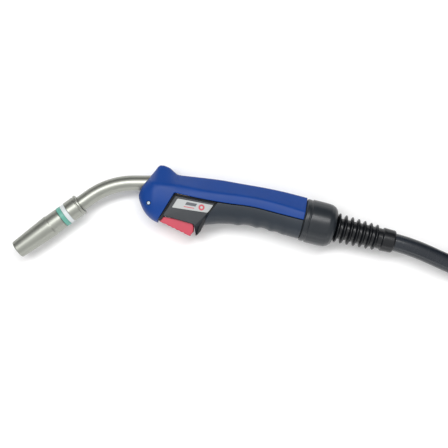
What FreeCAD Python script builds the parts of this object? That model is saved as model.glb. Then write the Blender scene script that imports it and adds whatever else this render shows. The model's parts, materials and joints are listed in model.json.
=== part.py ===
import FreeCAD, Part
import math
import os
import Sketcher

# A gas metal arc (MIG) welding torch lying on its side, with its 20 mm coaxial cable put away in a
# coil that ends in the central connector. Millimetres. +X runs from the nozzle to the cable, +Y is
# the top of the handle, +Z points up from the surface that the torch lies on. Z is zero on that
# surface, and X and Y are zero at the middle of the torch without its cable.

DIMENSIONS = {
    "mid_plane": 24.0,
    # Bent neck: its rear straight part runs along X at neck_height.
    "neck_height": 30.0,
    "neck_rear_x": -42.0,
    "neck_rear_run": 34.9,
    "neck_bend": 82.5,
    "neck_angle": 36.0,
    "neck_front_run": 12.5,
    "neck_seat": 9.0,
    "neck_outer": 8.35,
    "neck_wall": 1.4,
    "sleeve_wall": 1.75,
    "core_outer": 5.0,
    "core_inner": 2.6,
    "liner_outer": 2.3,
    "liner_inner": 1.1,
    # Front end, measured forward along the neck's front axis from the lip of the head.
    "lip_radius": 12.0,
    "lip_width": 1.6,
    "head_radius": 11.6,
    "head_len": 15.4,
    "spigot_radius": 8.0,
    "spigot_end": 31.0,
    "ring_width": 4.9,
    "white_radius": 11.3,
    "teal_radius": 11.8,
    "spring_radius": 9.75,
    "nozzle_start": 25.5,
    "nozzle_shoulder": 39.5,
    "nozzle_end": 85.6,
    "nozzle_rear_radius": 11.5,
    "nozzle_radius": 12.0,
    "nozzle_tip_radius": 9.9,
    "nozzle_bore": 10.1,
    "mouth_bore": 8.0,
    "tip_start": 50.0,
    "tip_end": 81.0,
    "tip_radius": 4.0,
    # Handle.
    "shell_wall": 3.0,
    "screw_x": -59.2,
    "screw_y": 7.6,
    "screw_radius": 1.8,
    "collar_x": 109.0,
    "collar_y": -10.0,
    "handle_angle": 14.0,
    "collar_radius": 24.0,
    "collar_len": 36.0,
    "handle_spigot": 20.2,
    "support_flange": 18.0,
    "support_ring": 16.4,
    "support_taper": 2.1,
    "support_pitch": 7.1,
    "support_root": 11.2,
    "support_end": 103.0,
    # Trigger module.
    "module_half": 16.0,
    "cavity_half": 13.3,
    "key_half": 12.5,
    "pivot_x": -16.0,
    "pivot_y": -11.0,
    "pivot_radius": 1.5,
    # Cable and its coil.
    "cable_radius": 9.75,
    "coil_x": 419.0,
    "coil_y": 21.6,
    "coil_outer": 132.0,
    "coil_turns": 2.5,
    "top_turn": 98.0,
    "top_shift_x": -33.3,
    "top_shift_y": -33.6,
    # Connector, measured along its axis from the end of its sleeve.
    "plug_x": 514.0,
    "plug_y": 22.6,
    "plug_z": 44.8,
    "plug_radius": 25.0,
    "plug_len": 98.0,
    "spigot_root": 6.5,
    "spigot_pin": 5.0,
    "insulator_end": 106.0,
    "plug_end": 128.0,
}

# Handle cross-sections from the nose to the collar: place along X, top, bottom and half width.
HANDLE_SECTIONS = (
    (-69.5, 21.5, 8.5, 12.0),
    (-66.5, 28.0, 0.8, 16.5),
    (-60.0, 35.5, -7.8, 20.5),
    (-53.0, 45.0, -12.4, 23.0),
    (-45.9, 49.8, -15.0, 23.4),
    (-37.0, 46.5, -17.5, 23.5),
    (-26.0, 39.2, -18.0, 23.5),
    (-4.0, 36.0, -17.0, 23.2),
    (18.0, 33.3, -15.6, 22.0),
    (40.0, 29.4, -16.2, 21.0),
    (62.0, 25.6, -20.0, 20.5),
    (84.0, 21.2, -26.3, 21.0),
    (106.0, 15.7, -32.8, 22.5),
    (118.0, 12.4, -36.0, 23.0),
)
SECTION_KEYS = ("at", "top", "low", "half")
for row, section in enumerate(HANDLE_SECTIONS):
    for key, number in zip(SECTION_KEYS, section):
        DIMENSIONS[f"handle_{key}_no{row}"] = number

doc = FreeCAD.newDocument("welding_torch")
sheet = doc.addObject("Spreadsheet::Sheet", "dims")
for row, (alias, number) in enumerate(DIMENSIONS.items(), start=1):
    sheet.set(f"A{row}", str(number))
    sheet.setAlias(f"A{row}", alias)
doc.recompute()

nodes = []


class Size:
    """A length that carries its value together with the spreadsheet formula that it comes from."""

    def __init__(self, value, formula):
        self.value = float(value)
        self.formula = formula

    def __add__(self, other):
        other = size(other)
        return Size(self.value + other.value, f"({self.formula} + {other.formula})")

    def __sub__(self, other):
        other = size(other)
        return Size(self.value - other.value, f"({self.formula} - {other.formula})")

    def __mul__(self, factor):
        return Size(self.value * factor, f"({self.formula} * {factor})")


def size(thing):
    """A Size from an alias of the sheet, from a plain number, or unchanged."""
    if isinstance(thing, Size):
        return thing
    if isinstance(thing, str):
        return Size(getattr(sheet, thing), f"dims.{thing}")
    return Size(thing, f"({float(thing)})")


def num(alias):
    """A dimension's value."""
    return float(getattr(sheet, alias))


def vec(x, y, z=0.0):
    return FreeCAD.Vector(x, y, z)


def along(start, angle, distance=0.0):
    """A frame in the mid plane whose X axis leaves start at an angle in degrees from +X."""
    turn = FreeCAD.Rotation(vec(0, 0, 1), angle)
    return FreeCAD.Placement(start + turn.multVec(vec(distance, 0)), turn)


def publish(name, thing):
    """Name a finished sub-part. Its Label is the name of its file."""
    thing.Label = name
    nodes.append(thing)
    return thing


def add_sketch(body, name, role):
    """An empty sketch on one of the body's origin planes."""
    sketch = body.newObject("Sketcher::SketchObject", name)
    plane = [item for item in body.Origin.OriginFeatures if item.Role == role][0]
    sketch.AttachmentSupport = [(plane, "")]
    sketch.MapMode = "FlatFace"
    return sketch


def bind(thing, prop, length):
    thing.setExpression(prop, size(length).formula)


def add_polygon(sketch, points):
    """A closed polygon whose corners are all held by bound distances from the sketch's origin."""
    corners = [(size(x), size(y)) for x, y in points]
    first = len(sketch.Geometry)
    count = len(corners)
    for index, (x, y) in enumerate(corners):
        next_x, next_y = corners[(index + 1) % count]
        line = Part.LineSegment(vec(x.value, y.value), vec(next_x.value, next_y.value))
        sketch.addGeometry(line)
    for index, (x, y) in enumerate(corners):
        edge = first + index
        after = first + (index + 1) % count
        sketch.addConstraint(Sketcher.Constraint("Coincident", edge, 2, after, 1))
        for kind, axis, length in (("DistanceX", -2, x), ("DistanceY", -1, y)):
            if abs(length.value) < 1e-9:
                sketch.addConstraint(Sketcher.Constraint("PointOnObject", edge, 1, axis))
                continue
            held = Sketcher.Constraint(kind, -1, 1, edge, 1, length.value)
            number = sketch.addConstraint(held)
            bind(sketch, f"Constraints[{number}]", length)


def turned(name, profile, place, angle=360.0):
    """A body turned about its own X axis from (distance, radius) corners."""
    body = doc.addObject("PartDesign::Body", f"{name}_body")
    sketch = add_sketch(body, f"{name}_profile", "XY_Plane")
    add_polygon(sketch, profile)
    doc.recompute()
    turn = body.newObject("PartDesign::Revolution", f"{name}_turn")
    turn.Profile = sketch
    turn.ReferenceAxis = (sketch, ["H_Axis"])
    turn.Angle = angle
    body.Placement = place
    return body


def rod(name, start, end, radius, place, bore=None):
    """A plain round bar or tube along the frame's X axis."""
    inner = 0.0 if bore is None else bore
    corners = [(start, inner), (end, inner), (end, radius), (start, radius)]
    return turned(name, corners, place)


def plate(name, outline, low, thickness, hole=None):
    """A body with a straight-sided outline in X and Y, from a height low up."""
    body = doc.addObject("PartDesign::Body", f"{name}_body")
    sketch = add_sketch(body, f"{name}_outline", "XY_Plane")
    add_polygon(sketch, outline)
    if hole:
        add_polygon(sketch, hole)
    doc.recompute()
    pad = body.newObject("PartDesign::Pad", f"{name}_pad")
    pad.Profile = sketch
    pad.Length = size(thickness).value
    bind(pad, "Length", thickness)
    body.Placement = FreeCAD.Placement(vec(0, 0, size(low).value), FreeCAD.Rotation())
    return body


def upright(name, x, y, radius, low, height):
    """A round bar that stands along Z."""
    bar = doc.addObject("Part::Cylinder", name)
    bind(bar, "Radius", radius)
    bind(bar, "Height", height)
    bar.Placement = FreeCAD.Placement(vec(x, y, low), FreeCAD.Rotation())
    return bar


def block(name, length, width, height, place):
    """A box whose frame is at the middle of its rear face."""
    box = doc.addObject("Part::Box", name)
    bind(box, "Length", length)
    bind(box, "Width", width)
    bind(box, "Height", height)
    middle = vec(0, -size(width).value / 2, -size(height).value / 2)
    box.Placement = place * FreeCAD.Placement(middle, FreeCAD.Rotation())
    return box


def fuse(name, *things):
    """One solid from several that touch or overlap."""
    joined = doc.addObject("Part::MultiFuse", name)
    joined.Shapes = list(things)
    joined.Refine = True
    return joined


def cut(name, base, *tools):
    """The base without its tools."""
    tool = tools[0] if len(tools) == 1 else fuse(f"{name}_tools", *tools)
    less = doc.addObject("Part::Cut", name)
    less.Base = base
    less.Tool = tool
    return less


def common(name, base, tool):
    """What the base and the tool share."""
    shared = doc.addObject("Part::Common", name)
    shared.Base = base
    shared.Tool = tool
    return shared


def solid_feature(name, shape, place=None):
    """A feature that holds a shape worked out from the sheet's values."""
    feature = doc.addObject("Part::Feature", name)
    feature.Shape = shape
    feature.Placement = place or FreeCAD.Placement()
    return feature


# Frames.
mid = num("mid_plane")
neck_turn = math.radians(num("neck_angle"))
neck_rear = vec(num("neck_rear_x"), num("neck_height"), mid)
bend_rear = neck_rear - vec(num("neck_rear_run"), 0)
bend_front = bend_rear + vec(
    -num("neck_bend") * math.sin(neck_turn), -num("neck_bend") * (1 - math.cos(neck_turn))
)
forward = vec(-math.cos(neck_turn), -math.sin(neck_turn))
lip = bend_front + forward * num("neck_front_run")
front = along(lip, 180 + num("neck_angle"))
collar_front = vec(num("collar_x"), num("collar_y"), mid)
rear = along(collar_front, -num("handle_angle"))
core_end = collar_front + rear.Rotation.multVec(vec(-66.0, 0))
core_line = core_end - neck_rear
core_angle = math.degrees(math.atan2(core_line.y, core_line.x))
inner_axis = along(neck_rear, core_angle)
plug = along(vec(num("plug_x"), num("plug_y"), num("plug_z")), 90)


def neck_tube(name, outer, inner, extra_rear=0.0, extra_front=0.0):
    """One of the nested tubes of the neck: a straight run, one bend and a second straight run."""
    body = doc.addObject("PartDesign::Body", f"{name}_body")
    spine = add_sketch(body, f"{name}_spine", "XY_Plane")
    first = num("neck_rear_run") + extra_rear
    last = num("neck_front_run") + num("neck_seat") + extra_front
    bend = num("neck_bend")
    corner = vec(first, 0)
    centre = vec(first, bend)
    leave = vec(first + bend * math.sin(neck_turn), bend * (1 - math.cos(neck_turn)))
    end = leave + vec(math.cos(neck_turn), math.sin(neck_turn)) * last
    quarter = -math.pi / 2
    circle = Part.Circle(centre, vec(0, 0, 1), bend)
    spine.addGeometry(Part.LineSegment(vec(0, 0), corner))
    spine.addGeometry(Part.ArcOfCircle(circle, quarter, quarter + neck_turn))
    spine.addGeometry(Part.LineSegment(leave, end))
    spine.addConstraint(Sketcher.Constraint("Coincident", 0, 1, -1, 1))
    spine.addConstraint(Sketcher.Constraint("Horizontal", 0))
    spine.addConstraint(Sketcher.Constraint("Tangent", 0, 2, 1, 1))
    spine.addConstraint(Sketcher.Constraint("Tangent", 1, 2, 2, 1))
    first_run = spine.addConstraint(Sketcher.Constraint("Distance", 0, first))
    spine.setExpression(f"Constraints[{first_run}]", f"dims.neck_rear_run + {extra_rear}")
    radius = spine.addConstraint(Sketcher.Constraint("Radius", 1, bend))
    spine.setExpression(f"Constraints[{radius}]", "dims.neck_bend")
    last_run = spine.addConstraint(Sketcher.Constraint("Distance", 2, last))
    spine.setExpression(
        f"Constraints[{last_run}]", f"dims.neck_front_run + dims.neck_seat + {extra_front}"
    )
    spine.addConstraint(Sketcher.Constraint("Angle", -1, 1, 2, 1, neck_turn))
    ring = add_sketch(body, f"{name}_ring", "YZ_Plane")
    for index, wall in enumerate((size(outer), size(inner))):
        ring.addGeometry(Part.Circle(vec(0, 0), vec(0, 0, 1), wall.value))
        ring.addConstraint(Sketcher.Constraint("Coincident", index, 3, -1, 1))
        number = ring.addConstraint(Sketcher.Constraint("Radius", index, wall.value))
        bind(ring, f"Constraints[{number}]", wall)
    doc.recompute()
    pipe = body.newObject("PartDesign::AdditivePipe", f"{name}_pipe")
    pipe.Profile = ring
    pipe.Spine = (spine, ["Edge1", "Edge2", "Edge3"])
    body.Placement = along(neck_rear + vec(extra_rear, 0), 180)
    return publish(name, body)


def make_neck():
    outer = size("neck_outer")
    inner = outer - "neck_wall"
    neck_tube("neck_outer_tube", outer, inner)
    neck_tube("neck_insulation", inner, inner - "sleeve_wall")
    neck_tube("neck_inner_tube", "core_outer", "core_inner", 12.0, 10.0)
    neck_tube("wire_liner", "liner_outer", "liner_inner", 14.0, 41.0)


def make_front_end():
    """Head, rings, nozzle and what is inside it, all turned about the neck's front axis."""
    seat = size("neck_seat")
    head_end = size("head_len")
    head = turned(
        "neck_head",
        [
            (0.0, "neck_outer"),
            (0.0, size("lip_radius") - 0.8),
            (0.8, "lip_radius"),
            ("lip_width", "lip_radius"),
            (size("lip_width") + 0.8, "head_radius"),
            (head_end, "head_radius"),
            (head_end, "spigot_radius"),
            ("spigot_end", "spigot_radius"),
            ("spigot_end", 3.0),
            (seat + 10.0, 3.0),
            (seat + 10.0, "core_outer"),
            (seat, "core_outer"),
            (seat, "neck_outer"),
        ],
        front,
    )
    publish("neck_head", head)
    white_end = head_end + "ring_width"
    teal_end = white_end + "ring_width"
    white = rod("insulator_ring", head_end, white_end, "white_radius", front, "spigot_radius")
    publish("insulator_ring", white)
    teal = rod("nozzle_ring", white_end, teal_end, "teal_radius", front, "spigot_radius")
    publish("nozzle_ring", teal)

    bead = 1.3
    beads = [(size("nozzle_start") + 0.3, "spigot_radius")]
    for index in range(4):
        start = size("nozzle_start") + 0.3 + index * bead
        beads += [
            (start, size("spring_radius") - 0.5),
            (start + 0.35, "spring_radius"),
            (start + 0.95, "spring_radius"),
        ]
    last = size("nozzle_start") + 0.3 + 4 * bead
    beads += [(last, size("spring_radius") - 0.5), (last, "spigot_radius")]
    publish("nozzle_spring", turned("nozzle_spring", beads, front))

    nozzle = turned(
        "gas_nozzle",
        [
            ("nozzle_start", "nozzle_bore"),
            ("nozzle_start", size("nozzle_rear_radius") - 0.3),
            (size("nozzle_start") + 0.3, "nozzle_rear_radius"),
            ("nozzle_shoulder", "nozzle_rear_radius"),
            (size("nozzle_shoulder") + 0.5, "nozzle_radius"),
            (size("nozzle_end") - 0.5, "nozzle_tip_radius"),
            ("nozzle_end", size("nozzle_tip_radius") - 0.5),
            ("nozzle_end", "mouth_bore"),
            (size("nozzle_end") - 18.0, "mouth_bore"),
            (size("nozzle_shoulder") + 6.0, "nozzle_bore"),
        ],
        front,
    )
    publish("gas_nozzle", nozzle)

    adaptor = turned(
        "tip_adaptor",
        [
            ("spigot_end", 2.4),
            ("spigot_end", 7.0),
            (size("spigot_end") + 5.0, 7.0),
            (size("spigot_end") + 5.5, 5.6),
            (size("tip_start") - 4.0, 5.6),
            (size("tip_start") - 4.0, 6.0),
            ("tip_start", 6.0),
            ("tip_start", 2.4),
        ],
        front,
    )
    publish("tip_adaptor", adaptor)

    sleeve = rod("diffuser_sleeve", size("spigot_end") + 5.6, size("tip_start") - 4.2, 8.4, front, 5.7)
    port_count = 6
    ports = []
    for index in range(port_count):
        port = doc.addObject("Part::Cylinder", f"gas_port_no{index}")
        port.Radius = 1.1
        port.Height = 12.0
        spin = FreeCAD.Rotation(vec(1, 0, 0), 360.0 / port_count * index)
        middle = FreeCAD.Placement(vec(num("spigot_end") + 10.0, 0), spin)
        port.Placement = front * middle
        ports.append(port)
    publish("gas_diffuser", cut("gas_diffuser_solid", sleeve, *ports))

    tip = turned(
        "contact_tip",
        [
            ("tip_start", 0.7),
            ("tip_start", "tip_radius"),
            (size("tip_end") - 9.0, "tip_radius"),
            (size("tip_end") - 1.0, size("tip_radius") - 0.8),
            ("tip_end", size("tip_radius") - 1.5),
            ("tip_end", 0.7),
        ],
        front,
    )
    publish("contact_tip", tip)


def half_oval(at, top, low, half, side):
    """Half of a rounded cross-section of the handle, a little fuller than an ellipse."""
    steps = 12
    fullness = 2.4
    points = []
    for index in range(steps + 1):
        turn = math.pi * (index / steps - 0.5)
        across = abs(math.cos(turn)) ** (2 / fullness)
        height = math.copysign(abs(math.sin(turn)) ** (2 / fullness), math.sin(turn))
        y = (top + low) / 2 + (top - low) / 2 * height
        points.append(vec(at, y, mid + side * half * across))
    curve = Part.BSplineCurve()
    curve.interpolate(Points=points)
    return Part.Wire([curve.toShape(), Part.makeLine(points[-1], points[0])])


def half_handle(side, inset):
    """One side of the handle's outer form, or of its hollow when it is inset by the wall."""
    wires = []
    for index in range(len(HANDLE_SECTIONS)):
        at, top, low, half = (num(f"handle_{key}_no{index}") for key in SECTION_KEYS)
        if index == 0:
            at += inset
        wires.append(half_oval(at, top - inset, low + inset, half - inset, side))
    return Part.makeLoft(wires, True, False)


SEAM = ((-31.0, 18.6), (-4.0, 12.4), (22.0, 7.6), (51.0, 3.6), (84.0, -4.7), (130.0, -16.4))
MODULE_TOP = ((-30.5, 15.7), (12.4, 6.9))
MODULE_REAR = ((3.6, -5.2), (-4.1, -18.4), (-8.5, -28.3))
LEADS_START = (-19.6, -4.7)
LEADS_ANGLE = 12.0
MODULE_LIP = ((-11.8, -15.1), (-42.6, -6.3), (-44.4, -6.0))
SLOT = (
    (-31.0, 18.8),
    (-50.4, -12.0),
    (-50.4, -50.0),
    (-7.6, -50.0),
    (-7.9, -28.3),
    (-3.5, -18.6),
    (4.2, -5.5),
    (13.1, 7.2),
    (6.0, 10.6),
)


def make_handle():
    """Two blue half shells, split in the mid plane, with a soft grip insert on each."""
    wall = num("shell_wall")
    low_zone = list(SEAM) + [(130.0, -70.0), (-31.0, -70.0)]
    bend_middle = bend_rear - vec(0, num("neck_bend"))
    spigot_len = 22.0
    for side, sign in (("near", 1), ("far", -1)):
        outer = solid_feature(f"form_{side}", half_handle(sign, 0.0))
        hollow = solid_feature(f"hollow_{side}", half_handle(sign, wall))
        skin = cut(f"skin_{side}", outer, hollow)
        below = plate(f"below_seam_{side}", low_zone, -10.0, 80.0)
        behind = block(f"behind_{side}", 60.0, 120.0, 120.0, rear)
        upper = cut(f"upper_{side}", cut(f"above_seam_{side}", skin, below), behind)
        boss_low, boss_len = (mid, 17.0) if sign > 0 else (4.0, mid - 4.0)
        boss = upright(f"screw_boss_{side}", num("screw_x"), num("screw_y"), 4.2, boss_low, boss_len)
        side_middle = vec(-120, 0, mid + sign * mid / 2)
        half_room = block(f"half_{side}", 300.0, 200.0, mid, along(side_middle, 0))
        ring = rod(f"spigot_ring_{side}", -6.0, spigot_len, "handle_spigot", rear, 17.2)
        spigot = common(f"spigot_{side}", ring, half_room)
        whole = fuse(f"shell_{side}_whole", upper, boss, spigot)
        neck_hole = rod(f"neck_hole_{side}", -70.0, 5.0, "neck_outer", along(neck_rear, 0))
        bend_hole = doc.addObject("Part::Torus", f"bend_hole_{side}")
        bind(bend_hole, "Radius1", "neck_bend")
        bind(bend_hole, "Radius2", "neck_outer")
        bend_hole.Angle3 = 40.0
        bend_hole.Placement = FreeCAD.Placement(bend_middle, FreeCAD.Rotation(vec(0, 0, 1), 88.0))
        slot = plate(f"trigger_slot_{side}", SLOT, -10.0, 80.0)
        way = upright(f"screw_way_{side}", num("screw_x"), num("screw_y"), "screw_radius", -1.0, 50.0)
        sink = upright(f"screw_sink_{side}", num("screw_x"), num("screw_y"), 3.3, 38.5, 20.0)
        shell = cut(f"shell_{side}", whole, neck_hole, bend_hole, slot, way, sink)
        publish(f"handle_shell_{side}", shell)
        zone = plate(f"grip_zone_{side}", low_zone, -10.0, 80.0)
        grip_raw = common(f"grip_{side}_raw", skin, zone)
        grip_slot = plate(f"grip_slot_{side}", SLOT, -10.0, 80.0)
        grip_ring = rod(f"grip_ring_{side}", -6.0, spigot_len, "handle_spigot", rear, 17.2)
        grip_behind = block(f"grip_behind_{side}", 60.0, 120.0, 120.0, rear)
        grip = cut(f"grip_{side}", grip_raw, grip_slot, grip_ring, grip_behind)
        publish(f"grip_insert_{side}", grip)


def make_screw():
    """The cross screw that holds the two half shells together at the front."""
    x, y = num("screw_x"), num("screw_y")
    shank = upright("screw_shank", x, y, "screw_radius", 6.0, 34.0)
    head = upright("screw_head", x, y, 3.1, 38.6, 2.4)
    socket = upright("screw_socket", x, y, 1.3, 39.6, 4.0)
    publish("handle_screw", cut("handle_screw_solid", fuse("screw_raw", shank, head), socket))


def make_conductor():
    """The brass block behind the neck, its clamp screw, and the copper core that leads to the cable."""
    rear_face = inner_axis * FreeCAD.Placement(vec(3.0, 0), FreeCAD.Rotation())
    body = block("block_raw", 27.0, 17.0, 17.0, rear_face)
    neck_way = rod("block_neck_way", -1.0, 12.0, "core_outer", along(neck_rear, 0))
    liner_way = rod("block_liner_way", -1.0, 14.0, "liner_outer", along(neck_rear, 0))
    core_way = rod("block_core_way", 20.0, 31.0, 6.0, inner_axis)
    spot = inner_axis.multVec(vec(25.0, 0))
    screw_way = upright("block_screw_way", spot.x, spot.y, 2.0, mid + 6.0, 10.0)
    ways = (neck_way, liner_way, core_way, screw_way)
    publish("conductor_block", cut("conductor_block_solid", body, *ways))
    clamp = upright("block_screw_solid", spot.x, spot.y, 2.0, mid + 6.0, 5.0)
    publish("block_screw", clamp)
    length = core_line.Length
    core = rod("copper_core", 20.0, length, 6.0, inner_axis)
    publish("copper_core", core)
    ferrule = rod("crimp_ferrule", length - 16.0, length, 8.6, inner_axis, 6.0)
    trim = block("ferrule_trim", 30.0, 40.0, 40.0, along(core_end, -num("handle_angle")))
    publish("crimp_ferrule", cut("crimp_ferrule_solid", ferrule, trim))
    publish("cable_end", rod("cable_end", -65.5, "support_end", "cable_radius", rear))


def make_rear():
    """The collar screwed over the handle's spigot and the ribbed support that it holds."""
    flange_end = 30.0
    collar = turned(
        "rear_collar",
        [
            (0.15, size("handle_spigot") + 0.1),
            (0.15, size("collar_radius") - 1.6),
            (1.4, size("collar_radius") - 0.7),
            (5.0, size("collar_radius") - 0.7),
            (6.2, "collar_radius"),
            (26.0, "collar_radius"),
            (31.0, size("collar_radius") - 1.2),
            (34.5, size("collar_radius") - 4.0),
            ("collar_len", size("collar_radius") - 8.0),
            ("collar_len", 12.0),
            (flange_end, 12.0),
            (flange_end, "support_flange"),
            (22.5, "support_flange"),
            (22.5, size("handle_spigot") + 0.1),
        ],
        rear,
    )
    publish("rear_collar", collar)
    root = size("support_root")
    profile = [
        (22.6, "cable_radius"),
        (22.6, size("support_flange") - 0.1),
        (flange_end - 0.1, size("support_flange") - 0.1),
        (flange_end - 0.1, root),
        (size("collar_len") + 0.3, root),
    ]
    ring_count = 7
    for index in range(ring_count):
        start = size("collar_len") + 0.8 + size("support_pitch") * index
        crest = size("support_ring") - size("support_taper") * (index / (ring_count - 1))
        profile += [
            (start, root),
            (start, crest - 0.6),
            (start + 0.6, crest),
            (start + 3.4, crest),
            (start + 4.0, crest - 0.6),
            (start + 4.0, root),
        ]
    profile += [
        (size("support_end") - 14.0, root),
        (size("support_end") - 13.0, 12.9),
        (size("support_end") - 1.2, 12.4),
        ("support_end", 11.4),
        ("support_end", "cable_radius"),
    ]
    publish("cable_support", turned("cable_support", profile, rear))


def make_trigger():
    """The trigger module: housing with label, red key on its pin, spring and microswitch."""
    half = num("module_half")
    outline = list(MODULE_TOP) + list(MODULE_REAR) + [(-10.0, -17.0)] + list(MODULE_LIP)
    body = plate("housing_raw", outline, mid - half, size("module_half") * 2)
    room = [
        (-46.6, -9.6),
        (-42.2, -1.6),
        (-40.0, -1.6),
        (-30.0, 12.4),
        (-2.6, 6.6),
        (-10.2, -8.0),
        (-11.0, -17.0),
    ]
    cavity = plate("housing_cavity", room, mid - num("cavity_half"), size("cavity_half") * 2)
    px, py = num("pivot_x"), num("pivot_y")
    pin_way = upright("pin_way", px, py, "pivot_radius", mid - half - 1.0, 40.0)
    lead_way = rod("lead_way", 6.0, 45.0, 3.4, along(vec(*LEADS_START, mid), LEADS_ANGLE))
    publish("trigger_housing", cut("trigger_housing_solid", body, cavity, pin_way, lead_way))

    label = [(-28.3, 12.9), (11.3, 5.4), (4.4, -3.6), (-34.9, 2.5)]
    publish("housing_label", plate("housing_label", label, mid + half, 0.6))

    key_outline = [
        (-43.6, -7.2),
        (-47.9, -12.2),
        (-15.1, -28.3),
        (-11.2, -23.5),
        (-10.9, -18.0),
        (-12.6, -12.0),
        (-13.4, -8.4),
        (-18.6, -8.4),
        (-22.0, -10.6),
    ]
    key = plate("key_raw", key_outline, mid - num("key_half"), size("key_half") * 2)
    running = 0.06
    key_way = upright("key_pin_way", px, py, size("pivot_radius") + running, 0.0, 60.0)
    spring_room = block("spring_room", 14.0, 14.0, 8.0, along(vec(px - 6.0, py, mid), 0))
    publish("trigger_key", cut("trigger_key_solid", key, key_way, spring_room))
    pin_len = size("module_half") * 2 - 0.4
    pin = upright("trigger_pin_solid", px, py, "pivot_radius", mid - half + 0.2, pin_len)
    publish("trigger_pin", pin)

    wire = 0.9
    coil = upright("spring_coil", px, py, 2.7, mid - 3.2, 6.4)
    coil_way = upright("spring_way", px, py, 1.8, mid - 4.0, 8.0)
    leg = block("spring_leg", 8.0, wire, wire, along(vec(px + 1.2, py + 2.2, mid), 100))
    publish("trigger_spring", cut("trigger_spring_solid", fuse("spring_raw", coil, leg), coil_way))

    slope = -16.0
    switch = along(vec(-36.3, -0.2, mid), slope)
    case = block("switch_case", 17.0, 6.0, 12.0, switch)
    plunger_spot = switch.multVec(vec(5.0, 0))
    plunger_turn = FreeCAD.Rotation(vec(0, 0, 1), slope - 90)
    plunger_frame = FreeCAD.Placement(plunger_spot, plunger_turn)
    plunger_way = rod("plunger_way", -1.4, 6.0, 1.6, plunger_frame)
    publish("microswitch", cut("microswitch_solid", case, plunger_way))
    publish("switch_plunger", rod("switch_plunger", 1.4, 7.1, 1.5, plunger_frame))
    leads = []
    for offset in (-2.2, 2.2):
        start = vec(*LEADS_START, mid + offset)
        tag = "near" if offset > 0 else "far"
        leads.append(rod(f"lead_{tag}", 0.0, 40.0, 0.9, along(start, LEADS_ANGLE)))
    joined = doc.addObject("Part::Compound", "switch_leads_pair")
    joined.Links = leads
    publish("switch_leads", joined)


LEAD_ROUTE = (
    (208.94, -34.92, 24.0),
    (228.35, -39.76, 24.0),
    (275.0, -61.0, 20.0),
    (323.5, -80.0, 9.75),
    (363.2, -98.0, 9.75),
)
TAIL_ROUTE = (
    (409.4, -107.1, 29.25),
    (446.3, -97.9, 30.5),
    (478.2, -77.2, 34.5),
    (501.6, -47.3, 40.0),
    (514.0, -11.4, 44.8),
    (514.0, 22.6, 44.8),
)


def cable_tube(name, route):
    """A tube along straight runs joined by tangent arcs, as large as the runs allow."""
    points = [vec(*point) for point in route]
    edges = []
    start = points[0]
    length = 0.0
    for before, corner, after in zip(points, points[1:], points[2:]):
        back = before - corner
        ahead = after - corner
        shorter = min(back.Length, ahead.Length)
        half_turn = (math.pi - back.getAngle(ahead)) / 2
        reach = 0.45 * shorter
        radius = reach / math.tan(half_turn)
        back.normalize()
        ahead.normalize()
        enter = corner + back * reach
        leave = corner + ahead * reach
        inward = back + ahead
        inward.normalize()
        middle = corner + inward * (radius / math.cos(half_turn) - radius)
        edges.append(Part.LineSegment(start, enter).toShape())
        edges.append(Part.Arc(enter, middle, leave).toShape())
        length += (enter - start).Length + 2 * half_turn * radius
        start = leave
        print(f"{name} radius {radius:.1f} mm, {radius / num('cable_radius') / 2:.1f} diameters")
    edges.append(Part.LineSegment(start, points[-1]).toShape())
    length += (points[-1] - start).Length
    path = Part.Wire(edges)
    ring = Part.Circle(points[0], points[1] - points[0], num("cable_radius"))
    tube = path.makePipeShell([Part.Wire([ring.toShape()])], True, False)
    expected = math.pi * num("cable_radius") ** 2 * length
    print(f"{name} length {length:.1f} mm, volume {tube.Volume:.0f}, expected {expected:.0f}")
    return publish(name, solid_feature(name, tube))


def coil_length():
    """The cable's length in the coil: the lower turns, the climb and the part turn on top."""
    pitch = num("cable_radius") * 2 + 0.1
    turns = num("coil_turns")
    mean = num("coil_outer") - pitch * turns / 2
    lower = 2 * math.pi * mean * turns
    climb = math.radians(80) * (num("coil_outer") - pitch * turns + 7.0)
    top = math.radians(139) * num("top_turn")
    return lower + climb + top


def spiral_disc(height):
    """The lower layer's outer shape: its rim comes in by one cable for each turn."""
    pitch = num("cable_radius") * 2 + 0.1
    reach = num("coil_outer") + num("cable_radius")
    centre = vec(num("coil_x"), num("coil_y"))
    steps = 24
    rim = []
    for index in range(steps + 1):
        angle = math.radians(COIL_START + 360.0 * index / steps)
        radius = reach - pitch * index / steps
        rim.append(centre + vec(math.cos(angle), math.sin(angle)) * radius)
    curve = Part.BSplineCurve()
    curve.interpolate(Points=rim)
    outline = Part.Wire([curve.toShape(), Part.makeLine(rim[-1], rim[0])])
    return Part.Face(outline).extrude(vec(0, 0, height))


def top_band(depth):
    """The part turn on top, a band of the cable's width."""
    radius = num("top_turn")
    half = num("cable_radius")
    low = depth - 0.5
    corners = [
        vec(radius - half, 0, low),
        vec(radius + half, 0, low),
        vec(radius + half, 0, depth * 2),
        vec(radius - half, 0, depth * 2),
    ]
    face = Part.Face(Part.makePolygon(corners + corners[:1]))
    return face.revolve(vec(0, 0), vec(0, 0, 1), 154.0)


def tie_band(name, angle, loop, window):
    """A strap round the coil, from the outline of its loop seen along the cable."""
    width = 16.0
    body = plate(name, loop, 0.0, width, hole=window)
    stand = FreeCAD.Rotation(vec(1, 0, 0), 90)
    aim = FreeCAD.Rotation(vec(0, 0, 1), angle)
    centred = FreeCAD.Placement(vec(0, width / 2, 0), stand)
    body.Placement = FreeCAD.Placement(vec(num("coil_x"), num("coil_y")), aim) * centred
    return publish(name, body)


COIL_START = 245.0


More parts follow.
